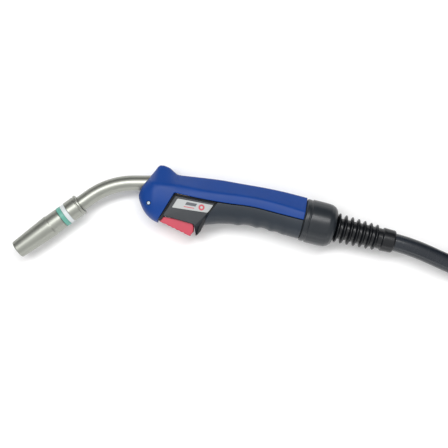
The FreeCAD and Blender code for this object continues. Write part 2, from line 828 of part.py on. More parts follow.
def make_coil():
    """The outer shape of the coil: a full lower layer and a part turn on top, with two tie bands."""
    thick = num("cable_radius") * 2
    inner = num("coil_outer") - (thick + 0.1) * num("coil_turns") - num("cable_radius")
    centre = vec(num("coil_x"), num("coil_y"))
    disc = solid_feature("coil_disc", spiral_disc(thick))
    eye = upright("coil_eye", centre.x, centre.y, inner, -1.0, 60.0)
    lower = cut("coil_lower", disc, eye)
    top_centre = centre + vec(num("top_shift_x"), num("top_shift_y"))
    turn = FreeCAD.Rotation(vec(0, 0, 1), 130.0)
    top = solid_feature("coil_top", top_band(thick), FreeCAD.Placement(top_centre, turn))
    strap = 1.3
    slack = 1.6
    tie_in = inner - slack
    low = thick + slack
    tall = thick * 2 + slack
    left_out = 140.2
    shoulder = 100.0
    left = tie_band(
        "coil_tie_left",
        180.0,
        [(tie_in, 0.0), (left_out, 0.0), (left_out, tall), (shoulder, tall), (tie_in, low)],
        [
            (tie_in + strap, strap),
            (left_out - strap, strap),
            (left_out - strap, tall - strap),
            (shoulder + 0.4, tall - strap),
            (tie_in + strap, low - strap),
        ],
    )
    right_out = 136.2
    right = tie_band(
        "coil_tie_right",
        20.0,
        [(tie_in, 0.0), (right_out, 0.0), (right_out, low), (tie_in, low)],
        [
            (tie_in + strap, strap),
            (right_out - strap, strap),
            (right_out - strap, low - strap),
            (tie_in + strap, low - strap),
        ],
    )
    publish("cable_coil", cut("cable_coil_solid", fuse("coil_raw", lower, top), left, right))


def make_connector():
    """The central connector: sleeve, two half shells, brass body, hand nut and sprung pins."""
    sleeve = [(0.0, "cable_radius"), (0.0, 12.6), (1.5, 13.6)]
    for index in range(4):
        start = 3.0 + 7.0 * index
        crest = 14.6 + 0.5 * index
        sleeve += [(start, 12.4), (start, crest), (start + 4.0, crest), (start + 4.0, 12.4)]
    sleeve += [(33.5, 12.4), (33.5, 17.0), (38.0, 17.0), (38.0, "cable_radius")]
    publish("plug_sleeve", turned("plug_sleeve", sleeve, plug))
    publish("plug_cable_end", rod("plug_cable_end", 0.0, 46.0, "cable_radius", plug))

    radius = size("plug_radius")
    end = size("plug_len")
    shell = turned(
        "plug_shell_raw",
        [
            (31.0, 13.4 + 4.0),
            (31.0, 20.0),
            (46.0, radius),
            (end, radius),
            (end, radius - 2.6),
            (48.0, radius - 2.6),
            (38.2, 18.4),
            (38.2, 17.4),
        ],
        plug,
    )
    spots = [plug.multVec(vec(p, side * 18.5)) for p in (58.0, 86.0) for side in (-1, 1)]
    low = num("plug_z") - 11.0
    shafts = []
    for index, spot in enumerate(spots):
        shaft = upright(f"plug_screw_shaft_no{index}", spot.x, spot.y, 1.4, low, 24.5)
        head = upright(f"plug_screw_head_no{index}", spot.x, spot.y, 2.6, low + 22.0, 2.5)
        shafts.append(fuse(f"plug_screw_no{index}", shaft, head))
    for side, shift in (("upper", 30.0), ("lower", -30.0)):
        centre = plug * FreeCAD.Placement(vec(0, 0, shift), FreeCAD.Rotation())
        half = block(f"plug_half_{side}", 160.0, 80.0, 60.0, centre)
        raw = common(f"plug_{side}_raw", shell, half)
        posts = []
        post_low = num("plug_z") if side == "upper" else low - 2.0
        for index, spot in enumerate(spots):
            post = upright(f"post_{side}_no{index}", spot.x, spot.y, 3.4, post_low, 13.0)
            posts.append(common(f"post_{side}_in_no{index}", post, disc_of_plug(f"{side}_no{index}")))
        whole = fuse(f"plug_{side}_whole", raw, *posts)
        publish(f"plug_shell_{side}", cut(f"plug_shell_{side}_solid", whole, *shafts))
    group = doc.addObject("Part::Compound", "plug_screw_group")
    group.Links = shafts
    publish("plug_screws", group)

    root = size("spigot_root")
    spigot = size("spigot_pin")
    face_end = size("insulator_end")
    tip = size("plug_end")
    body = turned(
        "plug_body",
        [
            (46.0, 2.2),
            (46.0, 9.0),
            (94.0, 9.0),
            (94.0, 21.6),
            (98.3, 21.6),
            (98.3, root),
            (face_end, root),
            (face_end, spigot),
            (112.0, spigot),
            (112.0, spigot - 1.0),
            (114.2, spigot - 1.0),
            (114.2, spigot),
            (tip - 0.6, spigot),
            (tip, spigot - 0.6),
            (tip, 2.2),
        ],
        plug,
    )
    ways = []
    pins = {}
    for name, angle in (("control_pin_left", 120.0), ("control_pin_right", 60.0)):
        offset = FreeCAD.Rotation(vec(1, 0, 0), angle).multVec(vec(0, 11.5, 0))
        frame = plug * FreeCAD.Placement(offset, FreeCAD.Rotation())
        ways.append(rod(f"{name}_way", 93.0, 110.0, 2.08, frame))
        pins[name] = turned(
            name,
            [(97.0, 0.0), (97.0, 2.0), (115.0, 2.0), (116.0, 1.2), (116.0, 0.0)],
            frame,
        )
    publish("plug_body", cut("plug_body_solid", body, *ways))
    face = rod("plug_face_raw", 98.3, face_end, 15.6, plug, root)
    publish("plug_insulator", cut("plug_insulator_solid", face, *ways))
    for name, pin in pins.items():
        publish(name, pin)
    ring = rod("plug_o_ring", 112.1, 114.1, spigot - 0.02, plug, spigot - 0.98)
    publish("plug_o_ring", ring)
    liner = turned(
        "liner_nut",
        [(tip, 1.2), (tip, 4.0), (tip + 4.0, 4.0), (tip + 5.0, 3.2), (tip + 5.0, 1.2)],
        plug,
    )
    publish("liner_nut", liner)
    nut = turned(
        "union_nut",
        [
            (98.8, 16.2),
            (98.8, 23.0),
            (100.2, 24.4),
            (121.5, 24.4),
            (123.0, 23.0),
            (123.0, 18.0),
            (103.4, 18.0),
            (102.2, 16.2),
        ],
        plug,
    )
    publish("union_nut", nut)


def disc_of_plug(tag):
    """The room inside the connector's shells that its screw posts may fill."""
    return rod(f"plug_room_{tag}", 46.0, 97.0, size("plug_radius") - 1.0, plug)


make_neck()
make_front_end()
make_handle()
make_screw()
make_conductor()
make_rear()
make_trigger()
cable_tube("cable_lead", LEAD_ROUTE)
make_coil()
cable_tube("cable_tail", TAIL_ROUTE)
make_connector()
doc.recompute()

print(f"cable in the coil {coil_length():.0f} mm")
for thing in doc.Objects:
    if "Invalid" in thing.State or "Error" in thing.State:
        raise RuntimeError(f"{thing.Name} failed: {thing.State}")
for thing in nodes:
    if thing.Shape.isNull() or not thing.Shape.isValid() or not thing.Shape.Solids:
        raise RuntimeError(f"{thing.Label} has no valid solid")

os.makedirs("parts", exist_ok=True)
for thing in nodes:
    thing.Shape.exportStep(os.path.join("parts", f"{thing.Label}.step"))
    box = thing.Shape.BoundBox
    print(
        f"{thing.Label:22s} solids {len(thing.Shape.Solids)} volume {thing.Shape.Volume:9.0f}"
        f" x {box.XMin:7.1f} {box.XMax:7.1f} y {box.YMin:7.1f} {box.YMax:7.1f}"
        f" z {box.ZMin:6.1f} {box.ZMax:6.1f}"
    )
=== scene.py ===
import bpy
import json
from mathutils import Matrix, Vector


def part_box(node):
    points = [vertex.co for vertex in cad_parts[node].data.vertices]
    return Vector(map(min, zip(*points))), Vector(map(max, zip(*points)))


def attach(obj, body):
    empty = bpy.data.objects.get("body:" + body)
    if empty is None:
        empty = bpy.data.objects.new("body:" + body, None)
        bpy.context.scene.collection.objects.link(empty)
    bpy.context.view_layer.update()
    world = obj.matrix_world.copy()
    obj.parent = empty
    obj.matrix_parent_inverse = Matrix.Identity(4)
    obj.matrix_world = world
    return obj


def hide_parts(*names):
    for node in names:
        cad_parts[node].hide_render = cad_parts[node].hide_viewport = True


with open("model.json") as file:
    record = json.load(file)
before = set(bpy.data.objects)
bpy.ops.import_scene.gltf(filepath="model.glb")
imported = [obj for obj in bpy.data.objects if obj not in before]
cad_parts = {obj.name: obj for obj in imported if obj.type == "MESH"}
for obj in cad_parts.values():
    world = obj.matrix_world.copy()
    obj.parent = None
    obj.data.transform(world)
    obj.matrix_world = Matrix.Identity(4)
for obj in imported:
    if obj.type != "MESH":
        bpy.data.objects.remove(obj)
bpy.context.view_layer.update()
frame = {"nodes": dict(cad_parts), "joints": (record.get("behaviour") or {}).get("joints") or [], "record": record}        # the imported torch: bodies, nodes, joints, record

import json
import math

import bmesh
import bpy
from mathutils import Matrix, Vector

# Lengths are in metres. MM turns the drawing's millimetres into metres.
MM = 0.001


# ---------------- places read from the frame
def middle(node):
    """The centre of a node's box at rest."""
    low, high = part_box(node)
    return (Vector(low) + Vector(high)) / 2


def joint(name):
    return next(item for item in frame["joints"] if item["name"] == name)


# The torch lies level at MID. Its three parts have their own origins and axes: FRONT from the
# lip behind the nozzle, REAR from the front of the collar, PLUG from the connector's cable end.
MID = middle("rear_collar").z
FRONT_AXIS = Vector(joint("nozzle_pull")["axis"]).normalized()
WHITE_RING_AT = 17.85 * MM
LIP = middle("insulator_ring") - FRONT_AXIS * WHITE_RING_AT
HANDLE_ANGLE = math.radians(14)
REAR_AXIS = Vector((math.cos(HANDLE_ANGLE), -math.sin(HANDLE_ANGLE), 0))
CABLE_END_AT = 18.75 * MM
COLLAR = middle("cable_end") - REAR_AXIS * CABLE_END_AT
NUT_TURN = joint("union_nut_turn")
PLUG_AXIS = Vector(NUT_TURN["axis"]).normalized()
PLUG_NUT_AT = 112.0 * MM
PLUG = Vector(NUT_TURN["pos_m"]) - PLUG_AXIS * PLUG_NUT_AT
COIL = Vector((0.419, 0.0216, 0))


def axis_frame(origin, axis):
    """A matrix whose X runs along a level axis, with Z up."""
    x = axis.normalized()
    z = Vector((0, 0, 1))
    y = z.cross(x)
    turn = Matrix((x, y, z)).transposed().to_4x4()
    return Matrix.Translation(origin) @ turn


FRONT = axis_frame(LIP, FRONT_AXIS)
REAR = axis_frame(COLLAR, REAR_AXIS)
PLUG_FRAME = axis_frame(PLUG, PLUG_AXIS)


# ---------------- materials
# Noise sizes in features per metre, and the curvature from which an edge shows wear.
CLOUD_SCALE = 45.0
SMUDGE_SCALE = 90.0
SCUFF_SCALE = 420.0
WORN_FROM = 0.53
WORN_FULLY = 0.62


def put(node, **values):
    """Sets a node's inputs, where an underscore stands for a space in the input's name."""
    for name, value in values.items():
        node.inputs[name.replace("_", " ")].default_value = value
    return node


def noise(tree, place, scale, detail, roughness):
    """The value of a noise texture at the places given."""
    made = put(tree.nodes.new("ShaderNodeTexNoise"), Scale=scale, Detail=detail, Roughness=roughness)
    tree.links.new(place, made.inputs["Vector"])
    return made.outputs["Fac"]


def ramp(tree, value, low, high, dark=(0, 0, 0), light=(1, 1, 1)):
    """Blends from one colour at a low value to another at a high one."""
    made = tree.nodes.new("ShaderNodeValToRGB")
    for end, position, color in zip(made.color_ramp.elements, (low, high), (dark, light)):
        end.position = position
        end.color = (*color, 1)
    tree.links.new(value, made.inputs["Fac"])
    return made.outputs["Color"]


def worn_edges(tree, place, paint, wear, wear_color):
    """The paint, rubbed off in patches along raised edges."""
    shape = tree.nodes.new("ShaderNodeNewGeometry")
    edge = ramp(tree, shape.outputs["Pointiness"], WORN_FROM, WORN_FULLY)
    patch = tree.nodes.new("ShaderNodeMath")
    patch.operation = "MULTIPLY"
    tree.links.new(edge, patch.inputs[0])
    tree.links.new(noise(tree, place, SCUFF_SCALE, 6.0, 0.7), patch.inputs[1])
    amount = tree.nodes.new("ShaderNodeMath")
    amount.operation = "MULTIPLY"
    amount.inputs[1].default_value = wear
    tree.links.new(patch.outputs["Value"], amount.inputs[0])
    blend = tree.nodes.new("ShaderNodeMix")
    blend.data_type = "RGBA"
    blend.inputs[7].default_value = (*wear_color, 1)
    tree.links.new(amount.outputs["Value"], blend.inputs[0])
    tree.links.new(paint, blend.inputs[6])
    return blend.outputs[2]


def turning_marks(tree, place, angle):
    """Places squeezed along an axis in the XY plane, so that noise runs round it in lines."""
    turn = put(tree.nodes.new("ShaderNodeMapping"), Rotation=(0, 0, -angle))
    stretch = put(tree.nodes.new("ShaderNodeMapping"), Scale=(1.0, 0.03, 0.03))
    tree.links.new(place, turn.inputs["Vector"])
    tree.links.new(turn.outputs["Vector"], stretch.inputs["Vector"])
    return stretch.outputs["Vector"]


def surface(
    name, color, roughness, metallic=0.0, grain=1500.0, grain_height=0.02, mottle=0.12,
    wear=0.0, wear_color=(0.5, 0.5, 0.5), coat=0.0, sheen=0.0, turned=None,
    rough_spread=0.08, specular=0.5,
):
    """A procedural material: colour mottle, worn edges, uneven roughness and a fine bump.

    grain is in features per metre and grain_height in mm. turned is the angle of the axis that
    a piece was turned about, for marks that run round it.
    """
    made = bpy.data.materials.new(name)
    made.use_nodes = True
    tree = made.node_tree
    shader = tree.nodes["Principled BSDF"]
    put(shader, Metallic=metallic, Specular_IOR_Level=specular)
    put(shader, Coat_Weight=coat, Coat_Roughness=0.25, Sheen_Weight=sheen, Sheen_Roughness=0.5)
    place = tree.nodes.new("ShaderNodeTexCoord").outputs["Object"]

    dark = [part * (1 - mottle) for part in color]
    light = [min(1, part * (1 + mottle * 0.6)) for part in color]
    paint = ramp(tree, noise(tree, place, CLOUD_SCALE, 5.0, 0.6), 0.3, 0.7, dark, light)
    if wear:
        paint = worn_edges(tree, place, paint, wear, wear_color)
    tree.links.new(paint, shader.inputs["Base Color"])

    smooth, rough = max(0.03, roughness - rough_spread), min(1.0, roughness + rough_spread)
    uneven = put(tree.nodes.new("ShaderNodeMapRange"), To_Min=smooth, To_Max=rough)
    tree.links.new(noise(tree, place, SMUDGE_SCALE, 6.0, 0.65), uneven.inputs["Value"])
    tree.links.new(uneven.outputs["Result"], shader.inputs["Roughness"])

    bump = put(tree.nodes.new("ShaderNodeBump"), Strength=0.6, Distance=grain_height * MM)
    grain_place = place if turned is None else turning_marks(tree, place, turned)
    tree.links.new(noise(tree, grain_place, grain, 4.0, 0.6), bump.inputs["Height"])
    tree.links.new(bump.outputs["Normal"], shader.inputs["Normal"])
    return made


FRONT_ANGLE = math.atan2(FRONT_AXIS.y, FRONT_AXIS.x)
NICKEL = dict(
    color=(0.345, 0.355, 0.32), metallic=1.0, grain=2600.0, mottle=0.05,
    wear=0.25, wear_color=(0.72, 0.60, 0.48),
)
LOOKS = {
    "nickel_nozzle": surface(
        "satin_nickel_turned", roughness=0.44, grain_height=0.012, rough_spread=0.07,
        turned=FRONT_ANGLE, **NICKEL
    ),
    "nickel_tube": surface(
        "satin_nickel_tube", roughness=0.42, grain_height=0.006, rough_spread=0.06, **NICKEL
    ),
    "blue_plastic": surface(
        "blue_polyamide", (0.004, 0.045, 0.235), 0.44, grain=2400.0, grain_height=0.014,
        mottle=0.06, wear=0.35, wear_color=(0.10, 0.22, 0.55), rough_spread=0.06, specular=0.22
    ),
    "grip_rubber": surface(
        "soft_grip", (0.018, 0.025, 0.035), 0.42, grain=3200.0, grain_height=0.030,
        mottle=0.10, wear=0.30, wear_color=(0.14, 0.15, 0.17), specular=0.35
    ),
    "dark_plastic": surface(
        "dark_polyamide", (0.016, 0.020, 0.025), 0.32, grain=2600.0, grain_height=0.024,
        mottle=0.10, wear=0.35, wear_color=(0.16, 0.17, 0.19), specular=0.4
    ),
    "black_rubber": surface(
        "black_rubber", (0.005, 0.006, 0.008), 0.30, grain=1800.0, grain_height=0.015,
        mottle=0.15, wear=0.3, wear_color=(0.09, 0.09, 0.10), specular=0.4
    ),
    "cable_jacket": surface(
        "cable_rubber", (0.012, 0.016, 0.023), 0.27, grain=900.0, grain_height=0.020,
        mottle=0.14, wear=0.1, wear_color=(0.10, 0.11, 0.13)
    ),
    "red_plastic": surface(
        "red_key", (0.48, 0.030, 0.062), 0.40, grain=2400.0, grain_height=0.014,
        mottle=0.06, wear=0.4, wear_color=(0.75, 0.25, 0.28)
    ),
    "label_film": surface(
        "label_film", (0.40, 0.415, 0.41), 0.42, grain=1500.0, grain_height=0.005,
        mottle=0.03, coat=0.3
    ),
    "white_insulator": surface(
        "white_insulator", (0.60, 0.64, 0.65), 0.45, grain=2000.0, grain_height=0.015, mottle=0.06,
        wear=0.2, wear_color=(0.45, 0.42, 0.36)
    ),
    "teal_insulator": surface(
        "teal_insulator", (0.115, 0.36, 0.29), 0.40, grain=2000.0, grain_height=0.015,
        mottle=0.08, wear=0.3, wear_color=(0.35, 0.6, 0.52)
    ),
    "dark_sleeve": surface("neck_sleeve", (0.10, 0.09, 0.08), 0.6, mottle=0.15),
    "copper": surface(
        "drawn_copper", (0.80, 0.42, 0.27), 0.28, metallic=1.0, grain_height=0.01, mottle=0.12,
        wear=0.4, wear_color=(0.55, 0.30, 0.20)
    ),
    "brass": surface(
        "turned_brass", (0.78, 0.58, 0.28), 0.27, metallic=1.0, grain_height=0.01, mottle=0.08,
        wear=0.3, wear_color=(0.85, 0.70, 0.42)
    ),
    "spring_steel": surface("spring_steel", (0.50, 0.50, 0.51), 0.3, metallic=1.0, mottle=0.1),
    "zinc_screw": surface(
        "zinc_plate", (0.30, 0.35, 0.41), 0.42, metallic=1.0, grain_height=0.006, mottle=0.06,
        wear=0.2, wear_color=(0.4, 0.38, 0.34)
    ),
    "lead_wire": surface("lead_insulation", (0.35, 0.04, 0.04), 0.45, mottle=0.1),
    "tie_strap": surface(
        "woven_strap", (0.028, 0.028, 0.032), 0.8, grain=1100.0, grain_height=0.12, mottle=0.2,
        sheen=0.4
    ),
}
# Near-black painted shade for the gap fillers, put where only shadow falls between parts.
PAINTED_SHADE_BLACK = surface("painted_gap_shade", (0.008, 0.009, 0.011), 0.7, mottle=0.1)
MARK_GREY = surface("label_ink_grey", (0.075, 0.08, 0.09), 0.45, mottle=0.08)
MARK_RED = surface("label_ink_red", (0.50, 0.05, 0.07), 0.40, mottle=0.08)


# ---------------- making meshes
def add_object(name, data):
    made = bpy.data.objects.new(name, data)
    bpy.context.scene.collection.objects.link(made)
    return made


def publish(made, body, slot, stands_for=(), look=None):
    """Give a piece its material, the body that it rides on and the nodes that it stands for."""
    made.data.materials.clear()
    made.data.materials.append(look or LOOKS[slot])
    if made.type == "MESH":
        even = made.modifiers.new("even_shading", "WEIGHTED_NORMAL")
        even.keep_sharp = True
    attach(made, body)
    if stands_for:
        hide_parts(*stands_for)
    return made


def add_edited(name, edit):
    """An object with the mesh as edited."""
    mesh = bpy.data.meshes.new(name)
    edit.to_mesh(mesh)
    edit.free()
    return add_object(name, mesh)


def mesh_piece(name, points, faces, sharp_angle):
    """A mesh object in metres, smooth except where its faces meet at more than the angle."""
    mesh = bpy.data.meshes.new(name)
    mesh.from_pydata(points, [], faces)
    edit = bmesh.new()
    edit.from_mesh(mesh)
    bmesh.ops.remove_doubles(edit, verts=edit.verts, dist=1e-7)
    bmesh.ops.recalc_face_normals(edit, faces=edit.faces)
    mark_edges(edit, sharp_angle)
    edit.to_mesh(mesh)
    edit.free()
    return add_object(name, mesh)


def mark_edges(edit, sharp_angle):
    """Smooth shading, except over edges where the faces meet at more than the angle."""
    for face in edit.faces:
        face.smooth = True
    for edge in edit.edges:
        if len(edge.link_faces) == 2:
            edge.smooth = edge.calc_face_angle(0.0) < math.radians(sharp_angle)


def soften(corners, radius, steps=4):
    """A closed outline with each corner rounded by about the radius, in the outline's units."""
    side_share = 0.45        # of each side that a rounded corner may take
    nearly_straight = math.radians(172)
    out = []
    count = len(corners)
    for index in range(count):
        before = Vector(corners[index - 1])
        corner = Vector(corners[index])
        after = Vector(corners[(index + 1) % count])
        back = before - corner
        ahead = after - corner
        reach = min(radius, back.length * side_share, ahead.length * side_share)
        if back.angle(ahead, math.pi) > nearly_straight:
            out.append(tuple(corner))
            continue
        start = corner + back.normalized() * reach
        end = corner + ahead.normalized() * reach
        for step in range(steps + 1):
            part = step / steps
            point = start * (1 - part) ** 2 + corner * 2 * part * (1 - part) + end * part ** 2
            out.append(tuple(point))
    return out


def straight(place):
    """Frames along a straight axis."""
    def at(distance):
        return place @ Matrix.Translation((distance, 0, 0))
    return at


def grid_faces(rows, count, rows_close=False, row_closes=False, base=0):
    """Four-sided faces between rows of points; the rows, and each row, may close to a loop."""
    faces = []
    for row in range(rows if rows_close else rows - 1):
        start = base + row * count
        above = base + (row + 1) % rows * count
        for index in range(count if row_closes else count - 1):
            beside = (index + 1) % count
            faces.append((start + index, start + beside, above + beside, above + index))
    return faces


def flatten(rings):
    return [point for ring in rings for point in ring]


def loft(name, rings, sharp=42.0):
    """A closed skin over rings of points, where the last ring joins the first."""
    faces = grid_faces(len(rings), len(rings[0]), rows_close=True, row_closes=True)
    return mesh_piece(name, flatten(rings), faces, sharp)


def lathe(name, at, corners, rounding=0.25, segments=112, ripple=None):
    """A turned piece from a closed outline of (distance, radius) in mm, its corners rounded.

    at gives the frame at a distance along the axis; ripple adds to the radius at an angle.
    """
    outline = soften(corners, rounding) if rounding else corners
    rings = []
    for distance, radius in outline:
        here = at(distance * MM)
        ring = []
        for index in range(segments):
            angle = 2 * math.pi * index / segments
            reach = radius + (ripple(distance, angle, radius) if ripple else 0.0)
            ring.append(here @ (Vector((0, math.cos(angle), math.sin(angle))) * reach * MM))
        rings.append(ring)
    return loft(name, rings)


def inset(outline, distance):
    """A closed outline moved inward by a distance, corner by corner."""
    sharpest = 0.35          # keeps an acute corner from moving too far
    count = len(outline)
    area = sum(
        outline[index - 1][0] * outline[index][1] - outline[index][0] * outline[index - 1][1]
        for index in range(count)
    )
    way = 1 if area > 0 else -1
    moved = []
    for index in range(count):
        corner = Vector(outline[index])
        back = (corner - Vector(outline[index - 1])).normalized()
        ahead = (Vector(outline[(index + 1) % count]) - corner).normalized()
        left = Vector((-back.y - ahead.y, back.x + ahead.x)) * way
        reach = distance / max(sharpest, left.length / 2)
        moved.append(tuple(corner + left.normalized() * reach))
    return moved


def slab(name, outline, low, high, rim, corner=0.0, sharp=40.0):
    """An extruded outline, from one height to another, with rounded rims; all in mm."""
    shape = soften(outline, corner, 5) if corner else outline
    levels = [(0.0, low), (0.0, high)]
    if rim:
        steps = 4
        turns = [math.pi / 2 * step / steps for step in range(steps + 1)]
        levels = [(rim * (1 - math.sin(turn)), low + rim * (1 - math.cos(turn))) for turn in turns]
        levels += [(inward, low + high - height) for inward, height in reversed(levels)]
    rings = []
    for inward, height in levels:
        rings.append([Vector((x, y, height)) * MM for x, y in inset(shape, inward)])
    count = len(shape)
    total = count * len(rings)
    faces = [list(range(count)), list(range(total - count, total))]
    faces += grid_faces(len(rings), count, row_closes=True)
    made = mesh_piece(name, flatten(rings), faces, sharp)
    for face in made.data.polygons:
        face.use_smooth = len(face.vertices) <= 4
    return made


def through(knots):
    """A smooth function through (x, y) knots, with no overshoot between them."""
    xs = [knot[0] for knot in knots]
    ys = [knot[1] for knot in knots]
    slopes = [(b - a) / (d - c) for a, b, c, d in zip(ys, ys[1:], xs, xs[1:])]
    tangents = [slopes[0]]
    for left, right in zip(slopes, slopes[1:]):
        tangents.append(0.0 if left * right <= 0 else 2 * left * right / (left + right))
    tangents.append(slopes[-1])

    def value(x):
        if x <= xs[0]:
            return ys[0]
        if x >= xs[-1]:
            return ys[-1]
        index = next(i for i in range(len(xs) - 1) if x <= xs[i + 1])
        width = xs[index + 1] - xs[index]
        part = (x - xs[index]) / width
        a, b = ys[index], ys[index + 1]
        m, n = tangents[index] * width, tangents[index + 1] * width
        return (
            a * (2 * part ** 3 - 3 * part ** 2 + 1)
            + m * (part ** 3 - 2 * part ** 2 + part)
            + b * (3 * part ** 2 - 2 * part ** 3)
            + n * (part ** 3 - part ** 2)
        )

    return value


def smooth_step(low, high, value):
    """Rises from 0 to 1 between low and high."""
    part = min(1.0, max(0.0, (value - low) / (high - low)))
    return part * part * (3 - 2 * part)


def cut_away(made, *tools):
    """Takes the tools' volumes out of a closed piece, and removes the tools."""
    for tool in tools:
        change = made.modifiers.new("cut", "BOOLEAN")
        change.operation = "DIFFERENCE"
        change.solver = "EXACT"
        change.object = tool
    bpy.context.view_layer.update()
    seen = made.evaluated_get(bpy.context.evaluated_depsgraph_get())
    mesh = bpy.data.meshes.new_from_object(seen)
    made.modifiers.clear()
    made.data = mesh
    for tool in tools:
        bpy.data.objects.remove(tool)
    edit = bmesh.new()
    edit.from_mesh(mesh)
    mark_edges(edit, 35.0)
    edit.to_mesh(mesh)
    edit.free()
    return made


def standing(x, y):
    """Frames up a vertical axis through a point in mm."""
    place = Matrix.Translation((x * MM, y * MM, 0)) @ Matrix.Rotation(-math.pi / 2, 4, "Y")
    return straight(place)


# ---------------- neck and front end
NECK_RADIUS = 8.35
NECK_BORE = 6.95
NECK_BEND = 82.5
NECK_RUN = 12.5
NECK_SEAT = 9.0
NECK_REAR_X = -42.0
NECK_HEIGHT = 30.0
NECK_SPACING = 1.5
NECK_SEGMENTS = 72


def neck_path():
    """Points and headings from the head back into the handle."""
    angle = math.atan2(-FRONT_AXIS.y, -FRONT_AXIS.x)
    path = [(LIP + FRONT_AXIS * NECK_SEAT * MM, angle)]
    bend_start = LIP - FRONT_AXIS * NECK_RUN * MM
    path.append((LIP.copy(), angle))
    centre = bend_start + Vector((math.sin(angle), -math.cos(angle), 0)) * NECK_BEND * MM
    steps = int(NECK_BEND * angle / NECK_SPACING)
    for step in range(steps + 1):
        heading = angle * (1 - step / steps)
        outward = Vector((-math.sin(heading), math.cos(heading), 0))
        path.append((centre + outward * NECK_BEND * MM, heading))
    path.append((Vector((NECK_REAR_X * MM, centre.y + NECK_BEND * MM, MID)), 0.0))
    return path


def neck_ring(point, heading, radius):
    across = Vector((-math.sin(heading), math.cos(heading), 0))
    ring = []
    for index in range(NECK_SEGMENTS):
        angle = 2 * math.pi * index / NECK_SEGMENTS
        spoke = across * math.cos(angle) + Vector((0, 0, 1)) * math.sin(angle)
        ring.append(point + spoke * radius * MM)
    return ring


def make_neck():
    path = neck_path()
    rings = [neck_ring(point, heading, NECK_RADIUS) for point, heading in path]
    rings += [neck_ring(point, heading, NECK_BORE) for point, heading in reversed(path)]
    publish(loft("neck_tube", rings), "torch", "nickel_tube", ["neck_outer_tube"])


def make_front_end():
    at = straight(FRONT)
    head = [
        (0.0, 8.5), (0.0, 11.4), (0.6, 12.0), (2.2, 12.0), (2.9, 11.2), (3.7, 11.2), (4.2, 11.6),
        (14.9, 11.6), (15.3, 11.2), (15.3, 8.1), (30.8, 8.0), (30.8, 7.0), (10.0, 7.0), (9.2, 8.4),
    ]
    made = lathe("neck_head_turned", at, head, 0.3)
    publish(made, "torch", "nickel_tube", ["neck_head"])
    white = [(15.4, 8.1), (15.4, 11.3), (20.2, 11.3), (20.2, 8.1)]
    made = lathe("white_ring", at, white, 0.45)
    publish(made, "torch", "white_insulator", ["insulator_ring"])
    teal = [(20.3, 8.1), (20.3, 11.55), (25.1, 11.55), (25.1, 8.1)]
    made = lathe("teal_ring", at, teal, 0.5)
    publish(made, "torch", "teal_insulator", ["nozzle_ring"])
    nozzle = [
        (25.5, 10.15), (25.5, 11.5), (38.9, 11.5), (40.1, 12.1), (42.5, 12.05), (84.6, 9.95),
        (85.5, 9.5), (85.5, 8.6), (84.4, 8.1), (67.6, 8.1), (45.5, 10.15),
    ]
    made = lathe("nozzle_turned", at, nozzle, 0.5, segments=128)
    publish(made, "nozzle", "nickel_nozzle", ["gas_nozzle"])


# ---------------- handle
# Sections from the nose to the collar: place along X, top, bottom and half width, in mm.
HANDLE_SECTIONS = (
    (-71.2, 15.8, 15.8, 0.0),
    (-69.5, 22.0, 8.0, 12.0),
    (-66.5, 28.4, 0.8, 16.5),
    (-60.0, 35.6, -7.8, 20.5),
    (-53.4, 43.2, -12.4, 22.9),
    (-49.4, 48.1, -13.9, 23.2),
    (-47.0, 49.5, -14.6, 23.3),
    (-43.2, 49.0, -15.8, 23.4),
    (-37.4, 46.6, -17.3, 23.5),
    (-33.0, 42.9, -17.9, 23.5),
    (-29.0, 39.6, -18.0, 23.5),
    (-25.5, 38.5, -17.9, 23.4),
    (-19.0, 37.7, -17.8, 23.4),
    (-4.0, 36.0, -17.0, 23.2),
    (18.0, 33.3, -15.6, 22.0),
    (40.0, 29.4, -16.4, 21.0),
    (62.0, 25.6, -19.6, 20.5),
    (84.0, 21.2, -26.0, 21.0),
    (106.0, 15.7, -32.6, 22.5),
    (118.0, 12.4, -36.0, 23.0),
)
NOSE = HANDLE_SECTIONS[0][0]
FULLNESS = 2.5           # of a section, where 2 is an ellipse
FLAT_OUT = 0.90          # how far out the flat side lies, of the half width
FLAT_FALL = 0.72         # how steeply the skin falls in above the crease
CREASE_HIGHEST = 0.8     # of the half height
CREASE_POWER = 44        # a larger number gives a sharper crease
# Lines in the side view: the crease above the flat side, the seam over the grip, the slot's rims.
CREASE = (
    (-71.2, 15.9), (-66.0, 25.0), (-59.0, 30.5), (-26.0, 26.7),
    (-4.0, 22.6), (51.0, 14.6), (115.0, -2.4),
)
SEAM = ((-31.0, 18.6), (-4.0, 12.4), (22.0, 7.6), (51.0, 3.6), (84.0, -4.7), (130.0, -16.4))
SLOT_FRONT = ((-50.4, -12.0), (-31.0, 18.8))
SLOT_REAR = ((-7.9, -28.3), (-3.5, -18.6), (4.2, -5.5), (13.1, 7.2), (20.0, 17.1))
COLLAR_X = COLLAR.x / MM
COLLAR_Y = COLLAR.y / MM
EDGE_ROUND = 0.8
WALL = 2.6
# Finger waves of the grip: place along X, width and height.
WAVES = ((37.7, 4.6, 1.0), (58.6, 4.2, 1.3), (75.5, 4.0, 1.2), (91.0, 4.4, 0.7))


def straight_line(knots):
    """A function that joins (x, y) knots with straight runs."""
    def value(x):
        for (x0, y0), (x1, y1) in zip(knots, knots[1:]):
            if x <= x1:
                return y0 + (y1 - y0) * (x - x0) / (x1 - x0)
        return knots[-1][1]
    return value


def nose_curve(column):
    """One of the section sizes, smooth and round at the nose."""
    knots = [(math.sqrt(row[0] - NOSE), row[column]) for row in HANDLE_SECTIONS]
    curve = through(knots)
    return lambda x: curve(math.sqrt(max(0.0, x - NOSE)))


TOP = nose_curve(1)
LOW = nose_curve(2)
HALF = nose_curve(3)
CREASE_AT = through(CREASE)
SEAM_AT = through(SEAM)
SLOT_FRONT_AT = straight_line(SLOT_FRONT)
SLOT_REAR_AT = straight_line(SLOT_REAR)
section_cache = {}


